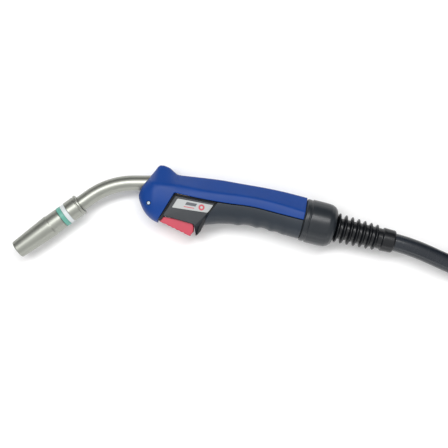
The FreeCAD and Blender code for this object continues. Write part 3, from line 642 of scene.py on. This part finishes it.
def section(station):
    """Lean, top, bottom, half width and crease of the slice at a station."""
    if station not in section_cache:
        lean = math.tan(HANDLE_ANGLE) * smooth_step(15.0, 100.0, station)
        top = low = COLLAR_Y
        for _ in range(6):
            top = TOP(station + lean * (top - COLLAR_Y))
            low = LOW(station + lean * (low - COLLAR_Y))
        section_cache[station] = (lean, top, low, HALF(station), CREASE_AT(station))
    return section_cache[station]


def handle_point(station, turn, relief=None):
    """A point of the handle's skin in mm: turn runs from the top to the bottom of the near side."""
    lean, top, low, half, crease = section(station)
    tall = max(0.01, (top - low) / 2)
    half = max(0.01, half)
    up, out = math.sin(turn), math.cos(turn)
    oval = (abs(up / tall) ** FULLNESS + abs(out / half) ** FULLNESS) ** (-1 / FULLNESS)
    start = min(crease - (top + low) / 2, CREASE_HIGHEST * tall)
    fall = FLAT_FALL * half / (tall - start)
    facing = max(0.05 * (out + fall * abs(up)), out + fall * up)
    flat = (FLAT_OUT * half + fall * start) / facing
    reach = (oval ** -CREASE_POWER + flat ** -CREASE_POWER) ** (-1 / CREASE_POWER)
    if relief:
        reach += relief(station, turn)
    y = (top + low) / 2 + reach * up
    return Vector((station + lean * (y - COLLAR_Y), y, reach * out))


def turn_at_height(station, curve, relief=None):
    """The turn at which the slice crosses a line in the side view."""
    high, deep = math.pi / 2, -math.pi / 2
    point = handle_point(station, deep, relief)
    if point.y > curve(point.x):
        return deep
    for _ in range(26):
        between = (high + deep) / 2
        point = handle_point(station, between, relief)
        if point.y > curve(point.x):
            high = between
        else:
            deep = between
    return (high + deep) / 2


def edge_drop(distance):
    """How far the skin falls away near an edge with a rounded rim."""
    if distance >= EDGE_ROUND:
        return 0.0
    return EDGE_ROUND - math.sqrt(EDGE_ROUND ** 2 - (EDGE_ROUND - distance) ** 2)


# Distances from a rim to the rows beside it, and the rows of a patch between two rims.
RIM = (0.0, 0.06, 0.18, 0.36, 0.58, EDGE_ROUND, 1.3)
ROWS_BETWEEN = 46
TAIL_ROWS = 8


def rim_places(length):
    """The distances beside a rim, closer together on a narrow patch."""
    return [min(1.0, length / 4.0) * place for place in RIM]


def row_places(length):
    """Distances across a patch, close together at both rims."""
    rim = rim_places(length)
    inner = length - 2 * rim[-1]
    between = [rim[-1] + inner * index / ROWS_BETWEEN for index in range(1, ROWS_BETWEEN)]
    return rim + between + [length - place for place in reversed(rim)]


def tail_places(length):
    """Distances over the part of a patch that only some stations have, close at its far rim."""
    rim = rim_places(length)
    inner = length - rim[-1]
    between = [inner * index / TAIL_ROWS for index in range(1, TAIL_ROWS)]
    return between + [length - place for place in reversed(rim)]


def rows_across(station, start, split, end, relief, has_tail):
    """The (distance, turn) of each row at a station, and the distance from rim to rim."""
    samples = 60
    turns = [start + (end - start) * index / samples for index in range(samples + 1)]
    line = [handle_point(station, turn, relief) for turn in turns]
    run = [0.0]
    for one, other in zip(line, line[1:]):
        run.append(run[-1] + max(1e-6, (other - one).length))
    length = run[-1]
    turn_at = straight_line(list(zip(run, turns)))
    run_at = straight_line(list(zip([-turn for turn in turns], run)))
    main = run_at(-split) if end < split else length
    places = row_places(main)
    if has_tail:
        places += [main + place for place in tail_places(length - main)]
    return [(place, turn_at(place)) for place in places], length


def skin_normal(station, turn, relief):
    """The outward direction of the skin."""
    here = handle_point(station, turn, relief)
    ahead = handle_point(station + 0.05, turn, relief) - here
    around = handle_point(station, turn - 0.01, relief) - here
    normal = ahead.cross(around)
    if normal.length < 1e-9:
        normal = Vector((-1, 0, 0))
    normal.normalize()
    _, top, low, _, _ = section(station)
    if normal.dot(here - Vector((here.x, (top + low) / 2, 0))) < 0:
        normal = -normal
    return normal


def handle_patch(
    name, side, stations, upper, lower, fall=0.0, relief=None, tail=None, front_rim=True
):
    """A closed moulding over part of the skin, with rounded rims.

    upper and lower give the turn of the rims at a station, and tail how far the patch goes on
    below lower at the stations in front of an opening. fall says how far the lower rim runs
    down along Z, unless it lies at the parting under the handle.
    """
    near_bottom = -1.5
    outer, inner = [], []
    for station in stations:
        start, split = upper(station), lower(station)
        end = min(split, tail(station)) if tail else split
        rows, length = rows_across(station, start, split, end, relief, bool(tail))
        end_gap = stations[-1] - station
        if front_rim:
            end_gap = min(end_gap, station - stations[0])
        column_out, column_in = [], []
        for place, turn in rows:
            here = handle_point(station, turn, relief)
            normal = skin_normal(station, turn, relief)
            drop = max(edge_drop(place), edge_drop(length - place), edge_drop(end_gap))
            point = here - normal * drop
            depth = -normal * WALL
            if fall and length - place < 1e-6 and end > near_bottom:
                depth = Vector((0, 0, -min(fall, max(1.0, here.z - 2.0))))
            column_out.append(point)
            column_in.append(point + depth)
        outer.append(column_out)
        inner.append(column_in)
    columns, rows_made = len(outer), len(outer[0])
    points = [Vector((p.x * MM, p.y * MM, MID + side * p.z * MM)) for p in flatten(outer + inner)]
    base = columns * rows_made
    faces = grid_faces(columns, rows_made) + grid_faces(columns, rows_made, base=base)
    for column in range(columns - 1):
        for row in (0, rows_made - 1):
            corner = column * rows_made + row
            faces.append((corner, corner + rows_made, base + corner + rows_made, base + corner))
    for row in range(rows_made - 1):
        for column in (0, columns - 1):
            corner = column * rows_made + row
            faces.append((corner, corner + 1, base + corner + 1, base + corner))
    return mesh_piece(name, points, faces, 38.0)


def evenly(low, high, spacing):
    """Places from low up to, not including, high."""
    count = max(2, round((high - low) / spacing))
    return [low + (high - low) * index / count for index in range(count)]


HANDLE_END = COLLAR_X - 0.75
END_PLACES = [HANDLE_END - place for place in reversed(RIM)]
PARTING = 0.0045
BOTTOM = -math.pi / 2 + PARTING
SLOT_START = SLOT_FRONT[0][0]


def shell_stations():
    """Close together at the round nose, then on both sides of the slot's front edge."""
    nose_length = 6.0
    count = 14
    nose = [NOSE + 0.02 + nose_length * (index / count) ** 2 for index in range(count)]
    front = evenly(NOSE + 0.02 + nose_length, SLOT_START - 0.02, 1.0)
    rear = evenly(SLOT_START + 0.8, END_PLACES[0], 1.2)
    return nose + front + [SLOT_START - 0.02, SLOT_START + 0.02] + rear + END_PLACES


def slot_rim(station):
    """The front of the trigger slot, then the seam above the grip."""
    gap = 0.35

    def line(x):
        seam = SEAM_AT(x) if x > SLOT_FRONT[1][0] else math.inf
        return min(SLOT_FRONT_AT(x), seam) + gap

    return turn_at_height(station, line)


SLOT_CORNER = slot_rim(SLOT_START + 0.02)


def shell_upper(station):
    return math.pi / 2 - PARTING


def shell_lower(station):
    return SLOT_CORNER if station < SLOT_START else slot_rim(station)


def shell_tail(station):
    """The nose in front of the slot goes on down to the parting under it."""
    return BOTTOM if station < SLOT_START else math.pi / 2


def grip_relief(station, turn):
    """Finger waves along the underside, in a palm that lies deeper up to the collar."""
    palm_end = 95.0
    weight = smooth_step(math.radians(22), math.radians(62), -turn)
    wave = sum(size * math.exp(-(((station - at) / width) ** 2)) for at, width, size in WAVES)
    palm = 0.27 * smooth_step(-2.0, 20.0, station) if station < palm_end else 0.0
    return weight * (wave - 0.5 - palm)


def grip_upper(station):
    """Behind the trigger slot, then just under the seam."""
    def line(x):
        return min(SLOT_REAR_AT(x) - 2.2, SEAM_AT(x) - 0.4)
    return turn_at_height(station, line, grip_relief)


def grip_lower(station):
    return BOTTOM


# Near-black pieces that paint the shade falling in the gaps between the trigger module and the handle:
# a thin plate on each side, and a web as deep as the module behind it, painting the module's shaded side
# face. Side view outlines, in mm.
SHIELD = (
    (-49.6, -11.1), (-31.2, 18.2), (-4.0, 12.2), (13.6, 8.8), (15.0, 7.2),
    (12.0, 7.0), (-30.3, 15.5), (-44.2, -6.1), (-43.4, -7.1), (-47.5, -11.6),
)
REAR_WEB = (
    (14.6, 8.0), (6.0, -5.8), (-1.4, -18.4), (-4.4, -24.0),
    (-7.4, -27.2), (-4.8, -18.4), (2.4, -5.2), (10.5, 7.0),
)
SHIELD_HEIGHTS = {"near": (36.9, 38.9), "far": (9.1, 11.1)}
SCREW_AT = (-59.2, 7.6)
SCREW_SINK = {"near": 40.2, "far": -3.0}
SINK_DEPTH = 10.8


def make_half(tag, side):
    """A half shell with its openings for the neck and the cross screw, and the grip on it."""
    shell = handle_patch(
        f"shell_{tag}", side, shell_stations(), shell_upper, shell_lower, 14.0,
        tail=shell_tail, front_rim=False,
    )
    neck_line = axis_frame(Vector((0, NECK_HEIGHT * MM, MID)), Vector((1, 0, 0)))
    wide = NECK_RADIUS + 0.35
    outline = [(-94.0, 0.0), (-94.0, wide), (-50.0, wide), (-50.0, 0.0)]
    hole = lathe(f"neck_hole_{tag}", straight(neck_line), outline, 0.0, 96)
    low = SCREW_SINK[tag]
    outline = [(low, 0.0), (low, 2.5), (low + SINK_DEPTH, 2.5), (low + SINK_DEPTH, 0.0)]
    sink = lathe(f"screw_sink_{tag}", standing(*SCREW_AT), outline, 0.0, 72)
    cut_away(shell, hole, sink)
    publish(shell, "torch", "blue_plastic", [f"handle_shell_{tag}"])

    stations = evenly(-1.4, END_PLACES[0], 1.0) + END_PLACES
    grip = handle_patch(
        f"grip_{tag}", side, stations, grip_upper, grip_lower, relief=grip_relief
    )
    publish(grip, "torch", "grip_rubber", [f"grip_insert_{tag}"])


def make_gap_fillers():
    for tag, (low, high) in SHIELD_HEIGHTS.items():
        shield = slab(f"slot_shield_{tag}", SHIELD, low, high, 0.0)
        publish(shield, "torch", "dark_plastic", look=PAINTED_SHADE_BLACK)
    web = slab("slot_rear_web", REAR_WEB, SHIELD_HEIGHTS["far"][0], SHIELD_HEIGHTS["near"][1], 0.2)
    publish(web, "torch", "dark_plastic", look=PAINTED_SHADE_BLACK)
    # A near-black ring in the gap between the handle's end and the collar: painted shade.
    outline = [(-3.5, 15.0), (-3.5, 18.6), (-0.7, 19.6), (-0.5, 21.2), (0.4, 21.2), (0.4, 15.0)]
    gap = lathe("handle_rear_gap", straight(REAR), outline, 0.0)
    publish(gap, "torch", "dark_plastic", look=PAINTED_SHADE_BLACK)


def make_cross_screw():
    outline = [(20.0, 0.0), (20.0, 1.8), (40.4, 1.8), (40.4, 2.3), (42.6, 2.3), (43.2, 1.7), (43.3, 0.0)]
    screw = lathe("cross_screw", standing(*SCREW_AT), outline, 0.25, 64)
    hexagon = []
    for index in range(6):
        angle = math.radians(60 * index)
        hexagon.append((SCREW_AT[0] + 1.2 * math.cos(angle), SCREW_AT[1] + 1.2 * math.sin(angle)))
    cut_away(screw, slab("screw_recess", hexagon, 42.4, 45.0, 0.0))
    publish(screw, "torch", "zinc_screw", ["handle_screw"])


def make_handle():
    make_half("near", 1)
    make_half("far", -1)
    make_gap_fillers()
    make_cross_screw()


# ---------------- trigger module
# The module's corners on the near side: its face, then the step down to its rear wing.
FACE = 40.0
MODULE_CORNERS = {
    "a": (-30.5, 15.7, FACE),
    "k": (4.4, -4.1, FACE),
    "c": (12.4, 6.9, FACE),
    "d": (3.6, -5.2, FACE - 0.5),
    "e": (-4.1, -18.4, FACE - 3.2),
    "f": (-8.5, -28.3, FACE - 3.6),
    "l": (-8.9, -17.1, FACE),
    "g": (-10.0, -17.0, FACE),
    "h": (-11.8, -15.1, FACE),
    "i": (-42.6, -6.3, FACE),
    "j": (-44.4, -6.0, FACE),
}
MODULE_RIM = "ackdefghij"
MODULE_TOPS = ("ajihglkc", "kled", "lgfe")


def make_module():
    edit = bmesh.new()
    found = {}
    for side in (1, -1):
        for key, (x, y, z) in MODULE_CORNERS.items():
            height = MID + side * (z * MM - MID)
            found[key, side] = edit.verts.new((x * MM, y * MM, height))
        for top in MODULE_TOPS:
            edit.faces.new([found[key, side] for key in top])
    for one, other in zip(MODULE_RIM, MODULE_RIM[1:] + MODULE_RIM[:1]):
        edit.faces.new([found[one, 1], found[other, 1], found[other, -1], found[one, -1]])
    bmesh.ops.recalc_face_normals(edit, faces=edit.faces)
    crisp = [edge for edge in edit.edges if edge.calc_face_angle(0.0) > math.radians(6)]
    bmesh.ops.bevel(edit, geom=crisp, offset=0.75 * MM, segments=3, profile=0.5, affect="EDGES")
    mark_edges(edit, 30.0)
    publish(add_edited("trigger_module", edit), "torch", "dark_plastic", ["trigger_housing"])


# The label: its corners, where its marks start, and the directions along and across it.
LABEL = ((-28.0, 12.6), (10.8, 5.2), (4.5, -3.0), (-34.2, 2.9))
LABEL_THICK = 0.5
MARKS_AT = Vector((-31.0, 7.6))
ALONG_LABEL = (Vector(LABEL[1]) - Vector(LABEL[0])).normalized()
UP_LABEL = Vector((6.2, 9.2)).normalized()
INK = (FACE + 0.42, FACE + 0.56)


def make_bar(name, start, height, length, tall, look):
    base = MARKS_AT + ALONG_LABEL * start + UP_LABEL * height
    ahead, up = ALONG_LABEL * length, UP_LABEL * tall
    outline = [tuple(corner) for corner in (base, base + ahead, base + ahead + up, base + up)]
    publish(slab(name, outline, *INK, 0.0, 0.4), "torch", "label_film", look=look)


def make_label():
    plate = slab("label_plate", LABEL, FACE, FACE + LABEL_THICK, 0.2, 1.2)
    publish(plate, "torch", "label_film", ["housing_label"])
    make_bar("label_bar_long", 11.0, 0.4, 11.5, 3.6, MARK_GREY)
    make_bar("label_line_low", 11.0, -2.4, 11.5, 0.9, MARK_RED)
    dot_at = MARKS_AT + ALONG_LABEL * 29.0 + UP_LABEL * 0.8
    outline = [(INK[0], 1.5), (INK[0], 3.3), (INK[1], 3.3), (INK[1], 1.5)]
    dot = lathe("label_dot", standing(dot_at.x, dot_at.y), outline, 0.0, 64)
    publish(dot, "torch", "label_film", look=MARK_RED)


# The key's finger side runs between two corners, with a wave over its middle part.
KEY_FRONT = Vector((-47.9, -12.2))
KEY_REAR = Vector((-15.1, -28.3))
KEY_HOOK = (-43.6, -7.2)
KEY_BACK = (
    (-11.2, -23.5), (-10.9, -18.0), (-12.6, -12.0), (-13.4, -8.4), (-18.6, -8.4), (-22.0, -10.6),
)
WAVE_FROM = 0.14
WAVE_TO = 0.86
WAVE_COUNT = 5
WAVE_DEEP = 0.45


def make_key():
    run = KEY_REAR - KEY_FRONT
    outward = Vector((run.y, -run.x)).normalized()
    outline = [KEY_HOOK]
    steps = 60
    for step in range(steps + 1):
        part = step / steps
        phase = 2 * math.pi * WAVE_COUNT * (part - WAVE_FROM) / (WAVE_TO - WAVE_FROM)
        wave = WAVE_DEEP * (1 - math.cos(phase)) / 2 if WAVE_FROM < part < WAVE_TO else 0.0
        if wave or step in (0, steps):
            outline.append(tuple(KEY_FRONT + run * part - outward * wave))
    key = slab("red_key", [*outline, *KEY_BACK], 11.5, 36.5, 0.9, 0.0, 30.0)
    publish(key, "trigger", "red_plastic", ["trigger_key"])


# ---------------- collar, support and cable
COLLAR_FLATS = 16
FLAT_DEEP = 0.22
RIB_COUNT = 7
RIB_PITCH = 7.1


def collar_ripple(distance, angle, radius):
    """Shallow lengthwise flats that give the collar a grip."""
    if radius <= 20:
        return 0.0
    weight = smooth_step(8.0, 10.0, distance) * (1 - smooth_step(24.0, 27.0, distance))
    return -FLAT_DEEP * weight * (1 - abs(math.cos(COLLAR_FLATS / 2 * angle)) ** 0.5)


def make_rear():
    at = straight(REAR)
    collar = [
        (0.15, 20.6), (0.15, 22.2), (1.0, 23.2), (4.6, 23.3), (5.2, 22.9), (6.0, 22.9),
        (6.8, 24.0), (22.0, 24.0), (28.0, 23.6), (32.0, 21.9), (34.6, 19.4), (35.9, 16.0),
        (35.9, 12.2), (30.2, 12.2), (30.2, 18.2), (22.4, 18.2), (22.4, 20.6),
    ]
    made = lathe("rear_collar_turned", at, collar, 0.9, segments=192, ripple=collar_ripple)
    publish(made, "torch", "dark_plastic", ["rear_collar"])
    outline = [(23.0, 9.9), (23.0, 17.6), (29.6, 17.6), (29.6, 11.2), (36.4, 11.2)]
    for index in range(RIB_COUNT):
        start = 36.8 + RIB_PITCH * index
        crest = 16.4 - 2.1 * index / (RIB_COUNT - 1)
        outline += [
            (start, 11.4), (start + 1.0, crest - 0.9), (start + 1.7, crest),
            (start + 2.5, crest), (start + 3.2, crest - 0.9), (start + 4.2, 11.4),
        ]
    outline += [(88.4, 11.2), (89.6, 12.9), (101.6, 12.5), (103.0, 11.4), (103.0, 9.9)]
    support = lathe("ribbed_support", at, outline, 0.5, segments=96)
    publish(support, "torch", "black_rubber", ["cable_support"])


LEAD_ROUTE = (
    (0.20894, -0.03492, 0.024),
    (0.22835, -0.03976, 0.024),
    (0.275, -0.061, 0.020),
    (0.3235, -0.080, 0.00975),
    (0.3632, -0.098, 0.00975),
)
TAIL_ROUTE = (
    (0.4094, -0.1071, 0.02925),
    (0.4463, -0.0979, 0.0305),
    (0.4782, -0.0772, 0.0345),
    (0.5016, -0.0473, 0.040),
    (0.514, -0.0114, 0.0448),
    (0.514, 0.0226, 0.0448),
)
CABLE_RADIUS = 0.00975
PITCH = 0.0196
LAYER = 0.0195
OUTER_TURN = 0.132
TOP_TURN = 0.098
TOP_SHIFT = Vector((-0.0333, -0.0336, 0))
START_ANGLE = 245.0


def coil_spoke(degrees):
    angle = math.radians(degrees)
    return Vector((math.cos(angle), math.sin(angle), 0))


def on_coil(degrees, radius, height):
    return COIL + coil_spoke(degrees) * radius + Vector((0, 0, height))


def coil_points():
    """Two and a half turns on the surface, a climb, and part of a turn on top of them."""
    points = []
    step = 12.0
    lower_turn, climb = 900.0, 80.0
    turned = step
    while turned < lower_turn:
        radius = OUTER_TURN - PITCH * turned / 360
        points.append(on_coil(START_ANGLE + turned, radius, CABLE_RADIUS))
        turned += step
    climb_steps = 9
    for index in range(climb_steps):
        turned = lower_turn + climb * index / climb_steps
        tilt = math.radians(90 * index / climb_steps)
        radius = OUTER_TURN - PITCH * (turned - 360) / 360 - PITCH * math.cos(tilt)
        points.append(on_coil(START_ANGLE + turned, radius, CABLE_RADIUS + LAYER * math.sin(tilt)))
    top_steps, top_sweep = 14, 139.0
    top_start = START_ANGLE + lower_turn + climb
    for index in range(top_steps):
        part = index / top_steps
        place = on_coil(top_start + top_sweep * part, TOP_TURN, CABLE_RADIUS + LAYER)
        points.append(place + TOP_SHIFT * smooth_step(0.0, 1.0, part))
    return points


def make_cable():
    curve = bpy.data.curves.new("cable", "CURVE")
    curve.dimensions = "3D"
    curve.bevel_depth = CABLE_RADIUS
    curve.bevel_resolution = 10
    curve.resolution_u = 6
    curve.use_fill_caps = True
    spline = curve.splines.new("NURBS")
    points = [Vector(p) for p in LEAD_ROUTE] + coil_points() + [Vector(p) for p in TAIL_ROUTE]
    spline.points.add(len(points) - 1)
    for item, point in zip(spline.points, points):
        item.co = (*point, 1)
    spline.order_u = 3
    spline.use_endpoint_u = True
    nodes = ["cable_lead", "cable_coil", "cable_tail"]
    return publish(add_object("cable", curve), "torch", "cable_jacket", nodes)


# The strap: its thickness and width in mm, its rim as shares of the width and the thickness,
# and the loops of (distance from the coil's centre, height) corners in mm.
STRAP_THICK = 1.3
STRAP_WIDE = 16.0
STRAP_RIM = (
    (-0.5, 0.25), (-0.47, 0.0), (0.47, 0.0), (0.5, 0.25),
    (0.5, 0.75), (0.47, 1.0), (-0.47, 1.0), (-0.5, 0.75),
)
LEFT_LOOP = ((84.5, 0.1), (127.6, 0.1), (127.6, 20.0), (114.6, 40.6), (91.5, 40.6), (84.5, 21.0))
RIGHT_LOOP = ((73.8, 0.1), (136.2, 0.1), (136.2, 21.1), (73.8, 21.1))


def make_tie(name, node, degrees, loop):
    """A hook and loop band round the coil's turns, from the outline of its loop."""
    outer = [Vector(corner) for corner in soften(loop, 4.0, 8)]
    inside = sum(outer, Vector((0, 0))) / len(outer)
    spoke = coil_spoke(degrees)
    side = Vector((-spoke.y, spoke.x, 0))
    rings = []
    for index, corner in enumerate(outer):
        ahead = (outer[(index + 1) % len(outer)] - outer[index - 1]).normalized()
        inward = Vector((-ahead.y, ahead.x))
        if inward.dot(inside - corner) < 0:
            inward = -inward
        ring = []
        for across, depth in STRAP_RIM:
            flat = corner + inward * depth * STRAP_THICK
            place = COIL + spoke * flat.x * MM + side * across * STRAP_WIDE * MM
            ring.append(place + Vector((0, 0, flat.y * MM)))
        rings.append(ring)
    return publish(loft(name, rings, 50.0), "torch", "tie_strap", [node])


# ---------------- connector
SLEEVE_RIBS = 4
SLEEVE_PITCH = 7.0
SHELL_SEGMENTS = 96
SHELL_GAP = 0.12
SHELL_OUTLINE = (
    (31.0, 17.5), (31.0, 19.6), (33.0, 21.0), (46.0, 25.0), (90.0, 25.0), (91.0, 24.4),
    (92.0, 24.4), (93.0, 25.0), (98.0, 25.0), (98.0, 22.5), (48.0, 22.5), (38.3, 18.4), (38.3, 17.5),
)
NUT_RIBS = 20
NUT_ROWS = 12


def half_turn(name, outline, sign):
    """One of two half shells, split level through the connector's axis."""
    rings = []
    for distance, radius in soften(outline, 0.5):
        here = PLUG_FRAME @ Matrix.Translation((distance * MM, 0, 0))
        ring = []
        for index in range(SHELL_SEGMENTS + 1):
            angle = math.pi * index / SHELL_SEGMENTS
            z = max(SHELL_GAP, math.sin(angle) * radius) * sign
            ring.append(here @ Vector((0, math.cos(angle) * radius * MM, z * MM)))
        rings.append(ring)
    count = SHELL_SEGMENTS + 1
    faces = grid_faces(len(rings), count, rows_close=True)
    for end in (0, SHELL_SEGMENTS):
        faces.append([row * count + end for row in range(len(rings))])
    return mesh_piece(name, flatten(rings), faces, 35.0)


def make_connector_sleeve():
    outline = [(0.0, 9.9), (0.0, 12.4), (1.4, 13.6)]
    for index in range(SLEEVE_RIBS):
        start = 3.0 + SLEEVE_PITCH * index
        crest = 14.6 + 0.5 * index
        outline += [(start - 0.3, 12.4), (start + 0.3, crest), (start + 3.7, crest), (start + 4.3, 12.4)]
    outline += [(33.3, 12.4), (33.5, 17.0), (37.9, 17.0), (37.9, 9.9)]
    made = lathe("connector_sleeve", straight(PLUG_FRAME), outline, 0.6)
    return publish(made, "torch", "black_rubber", ["plug_sleeve"])


def screw_ways():
    """Round tools for the four screw holes in the connector's upper shell."""
    outline = [(50.0, 0.0), (50.0, 2.9), (70.0, 2.9), (70.0, 0.0)]
    for along in (58.0, 86.0):
        for across in (-18.5, 18.5):
            spot = PLUG_FRAME @ Vector((along * MM, across * MM, 0)) / MM
            yield lathe(f"screw_way_{along:.0f}_{across:.0f}", standing(spot.x, spot.y), outline, 0.0, 48)


def make_connector_shells():
    upper = half_turn("connector_shell_upper", SHELL_OUTLINE, 1)
    cut_away(upper, *screw_ways())
    publish(upper, "torch", "dark_plastic", ["plug_shell_upper"])
    lower = half_turn("connector_shell_lower", SHELL_OUTLINE, -1)
    publish(lower, "torch", "dark_plastic", ["plug_shell_lower"])
    return [upper, lower]


def nut_ripple(distance, angle, radius):
    """The hollows between the hand nut's ribs."""
    if radius < 22.5:
        return 0.0
    weight = smooth_step(100.0, 101.5, distance) * (1 - smooth_step(120.5, 122.0, distance))
    return -weight * smooth_step(-0.2, 0.6, math.cos(NUT_RIBS * angle))


def make_hand_nut():
    outline = [(99.0, 16.4), (99.0, 22.9), (100.2, 24.4)]
    outline += [(100.2 + 21.3 * row / NUT_ROWS, 24.4) for row in range(1, NUT_ROWS + 1)]
    outline += [(123.0, 23.0), (123.0, 18.2), (103.6, 18.2), (102.4, 16.4)]
    nut = lathe("hand_nut", straight(PLUG_FRAME), outline, 0.5, segments=240, ripple=nut_ripple)
    return publish(nut, "union", "dark_plastic", ["union_nut"])


# ---------------- the torch
for item in frame["record"]["subparts"]:
    node = frame["nodes"][item["node"]]
    node.data.materials.clear()
    node.data.materials.append(LOOKS[item["material_slot"]])

make_neck()
make_front_end()
make_handle()
make_module()
make_label()
make_key()
make_rear()
cable = make_cable()
ties = [
    make_tie("tie_band_left", "coil_tie_left", 180.0, LEFT_LOOP),
    make_tie("tie_band_right", "coil_tie_right", 20.0, RIGHT_LOOP),
]
connector = [make_connector_sleeve(), *make_connector_shells(), make_hand_nut()]


# ---------------- floor, light and camera
def area(name, place, aim, size, power):
    """A rectangular white light."""
    light = bpy.data.lights.new(name, "AREA")
    light.shape = "RECTANGLE"
    light.size, light.size_y = size
    light.energy = power
    made = add_object(name, light)
    made.location = place
    made.rotation_mode = "QUATERNION"
    made.rotation_quaternion = (Vector(aim) - Vector(place)).to_track_quat("-Z", "Y")


FLOOR_HALF = 30.0
FLOOR_HEIGHT = -0.0002
PAPER = 0.96


def make_studio():
    edit = bmesh.new()
    bmesh.ops.create_grid(edit, x_segments=8, y_segments=8, size=FLOOR_HALF)
    floor = add_edited("floor", edit)
    floor.location = (0, 0, FLOOR_HEIGHT)
    paper = bpy.data.materials.new("paper")
    paper.use_nodes = True
    shader = paper.node_tree.nodes["Principled BSDF"]
    put(shader, Base_Color=(PAPER, PAPER, PAPER, 1), Roughness=0.9, Specular_IOR_Level=0.1)
    floor.data.materials.append(paper)

    scene = bpy.context.scene
    scene.view_settings.view_transform = "Standard"
    scene.view_settings.look = "None"
    scene.world = make_sky()
    area("key", (-0.06, 0.36, 1.2), (0.05, 0.0, 0.0), (1.35, 0.30), 12.5)
    area("low_fill", (0.05, -0.66, 0.17), (0.05, 0.0, 0.0), (1.3, 0.2), 1.3)


SKY_LEAN = -0.3
SKY_LOW = 0.02
SKY_HIGH = 0.88


def make_sky():
    """A dim room, brighter overhead and towards the trigger side than behind the handle."""
    world = bpy.data.worlds.new("studio")
    world.use_nodes = True
    tree = world.node_tree
    sky = tree.nodes["Background"]
    place = tree.nodes.new("ShaderNodeTexCoord")
    split = tree.nodes.new("ShaderNodeSeparateXYZ")
    tree.links.new(place.outputs["Generated"], split.inputs["Vector"])
    lean = tree.nodes.new("ShaderNodeMath")
    lean.operation = "MULTIPLY_ADD"
    lean.inputs[1].default_value = SKY_LEAN
    tree.links.new(split.outputs["Y"], lean.inputs[0])
    tree.links.new(split.outputs["Z"], lean.inputs[2])
    shade = ramp(tree, lean.outputs["Value"], 0.0, 0.95, [SKY_LOW] * 3, [SKY_HIGH] * 3)
    tree.links.new(shade, sky.inputs["Color"])
    put(sky, Strength=1.0)
    return world


def make_camera():
    """Straight above the torch, with the top of the handle at the top of the picture."""
    height = 1.05
    half_width = 0.2464
    camera = bpy.data.cameras.new("camera")
    camera.angle = 2 * math.atan(half_width / height)
    made = add_object("camera", camera)
    made.location = (0.0223, -0.0151, MID + height)
    bpy.context.scene.camera = made


make_studio()
make_camera()
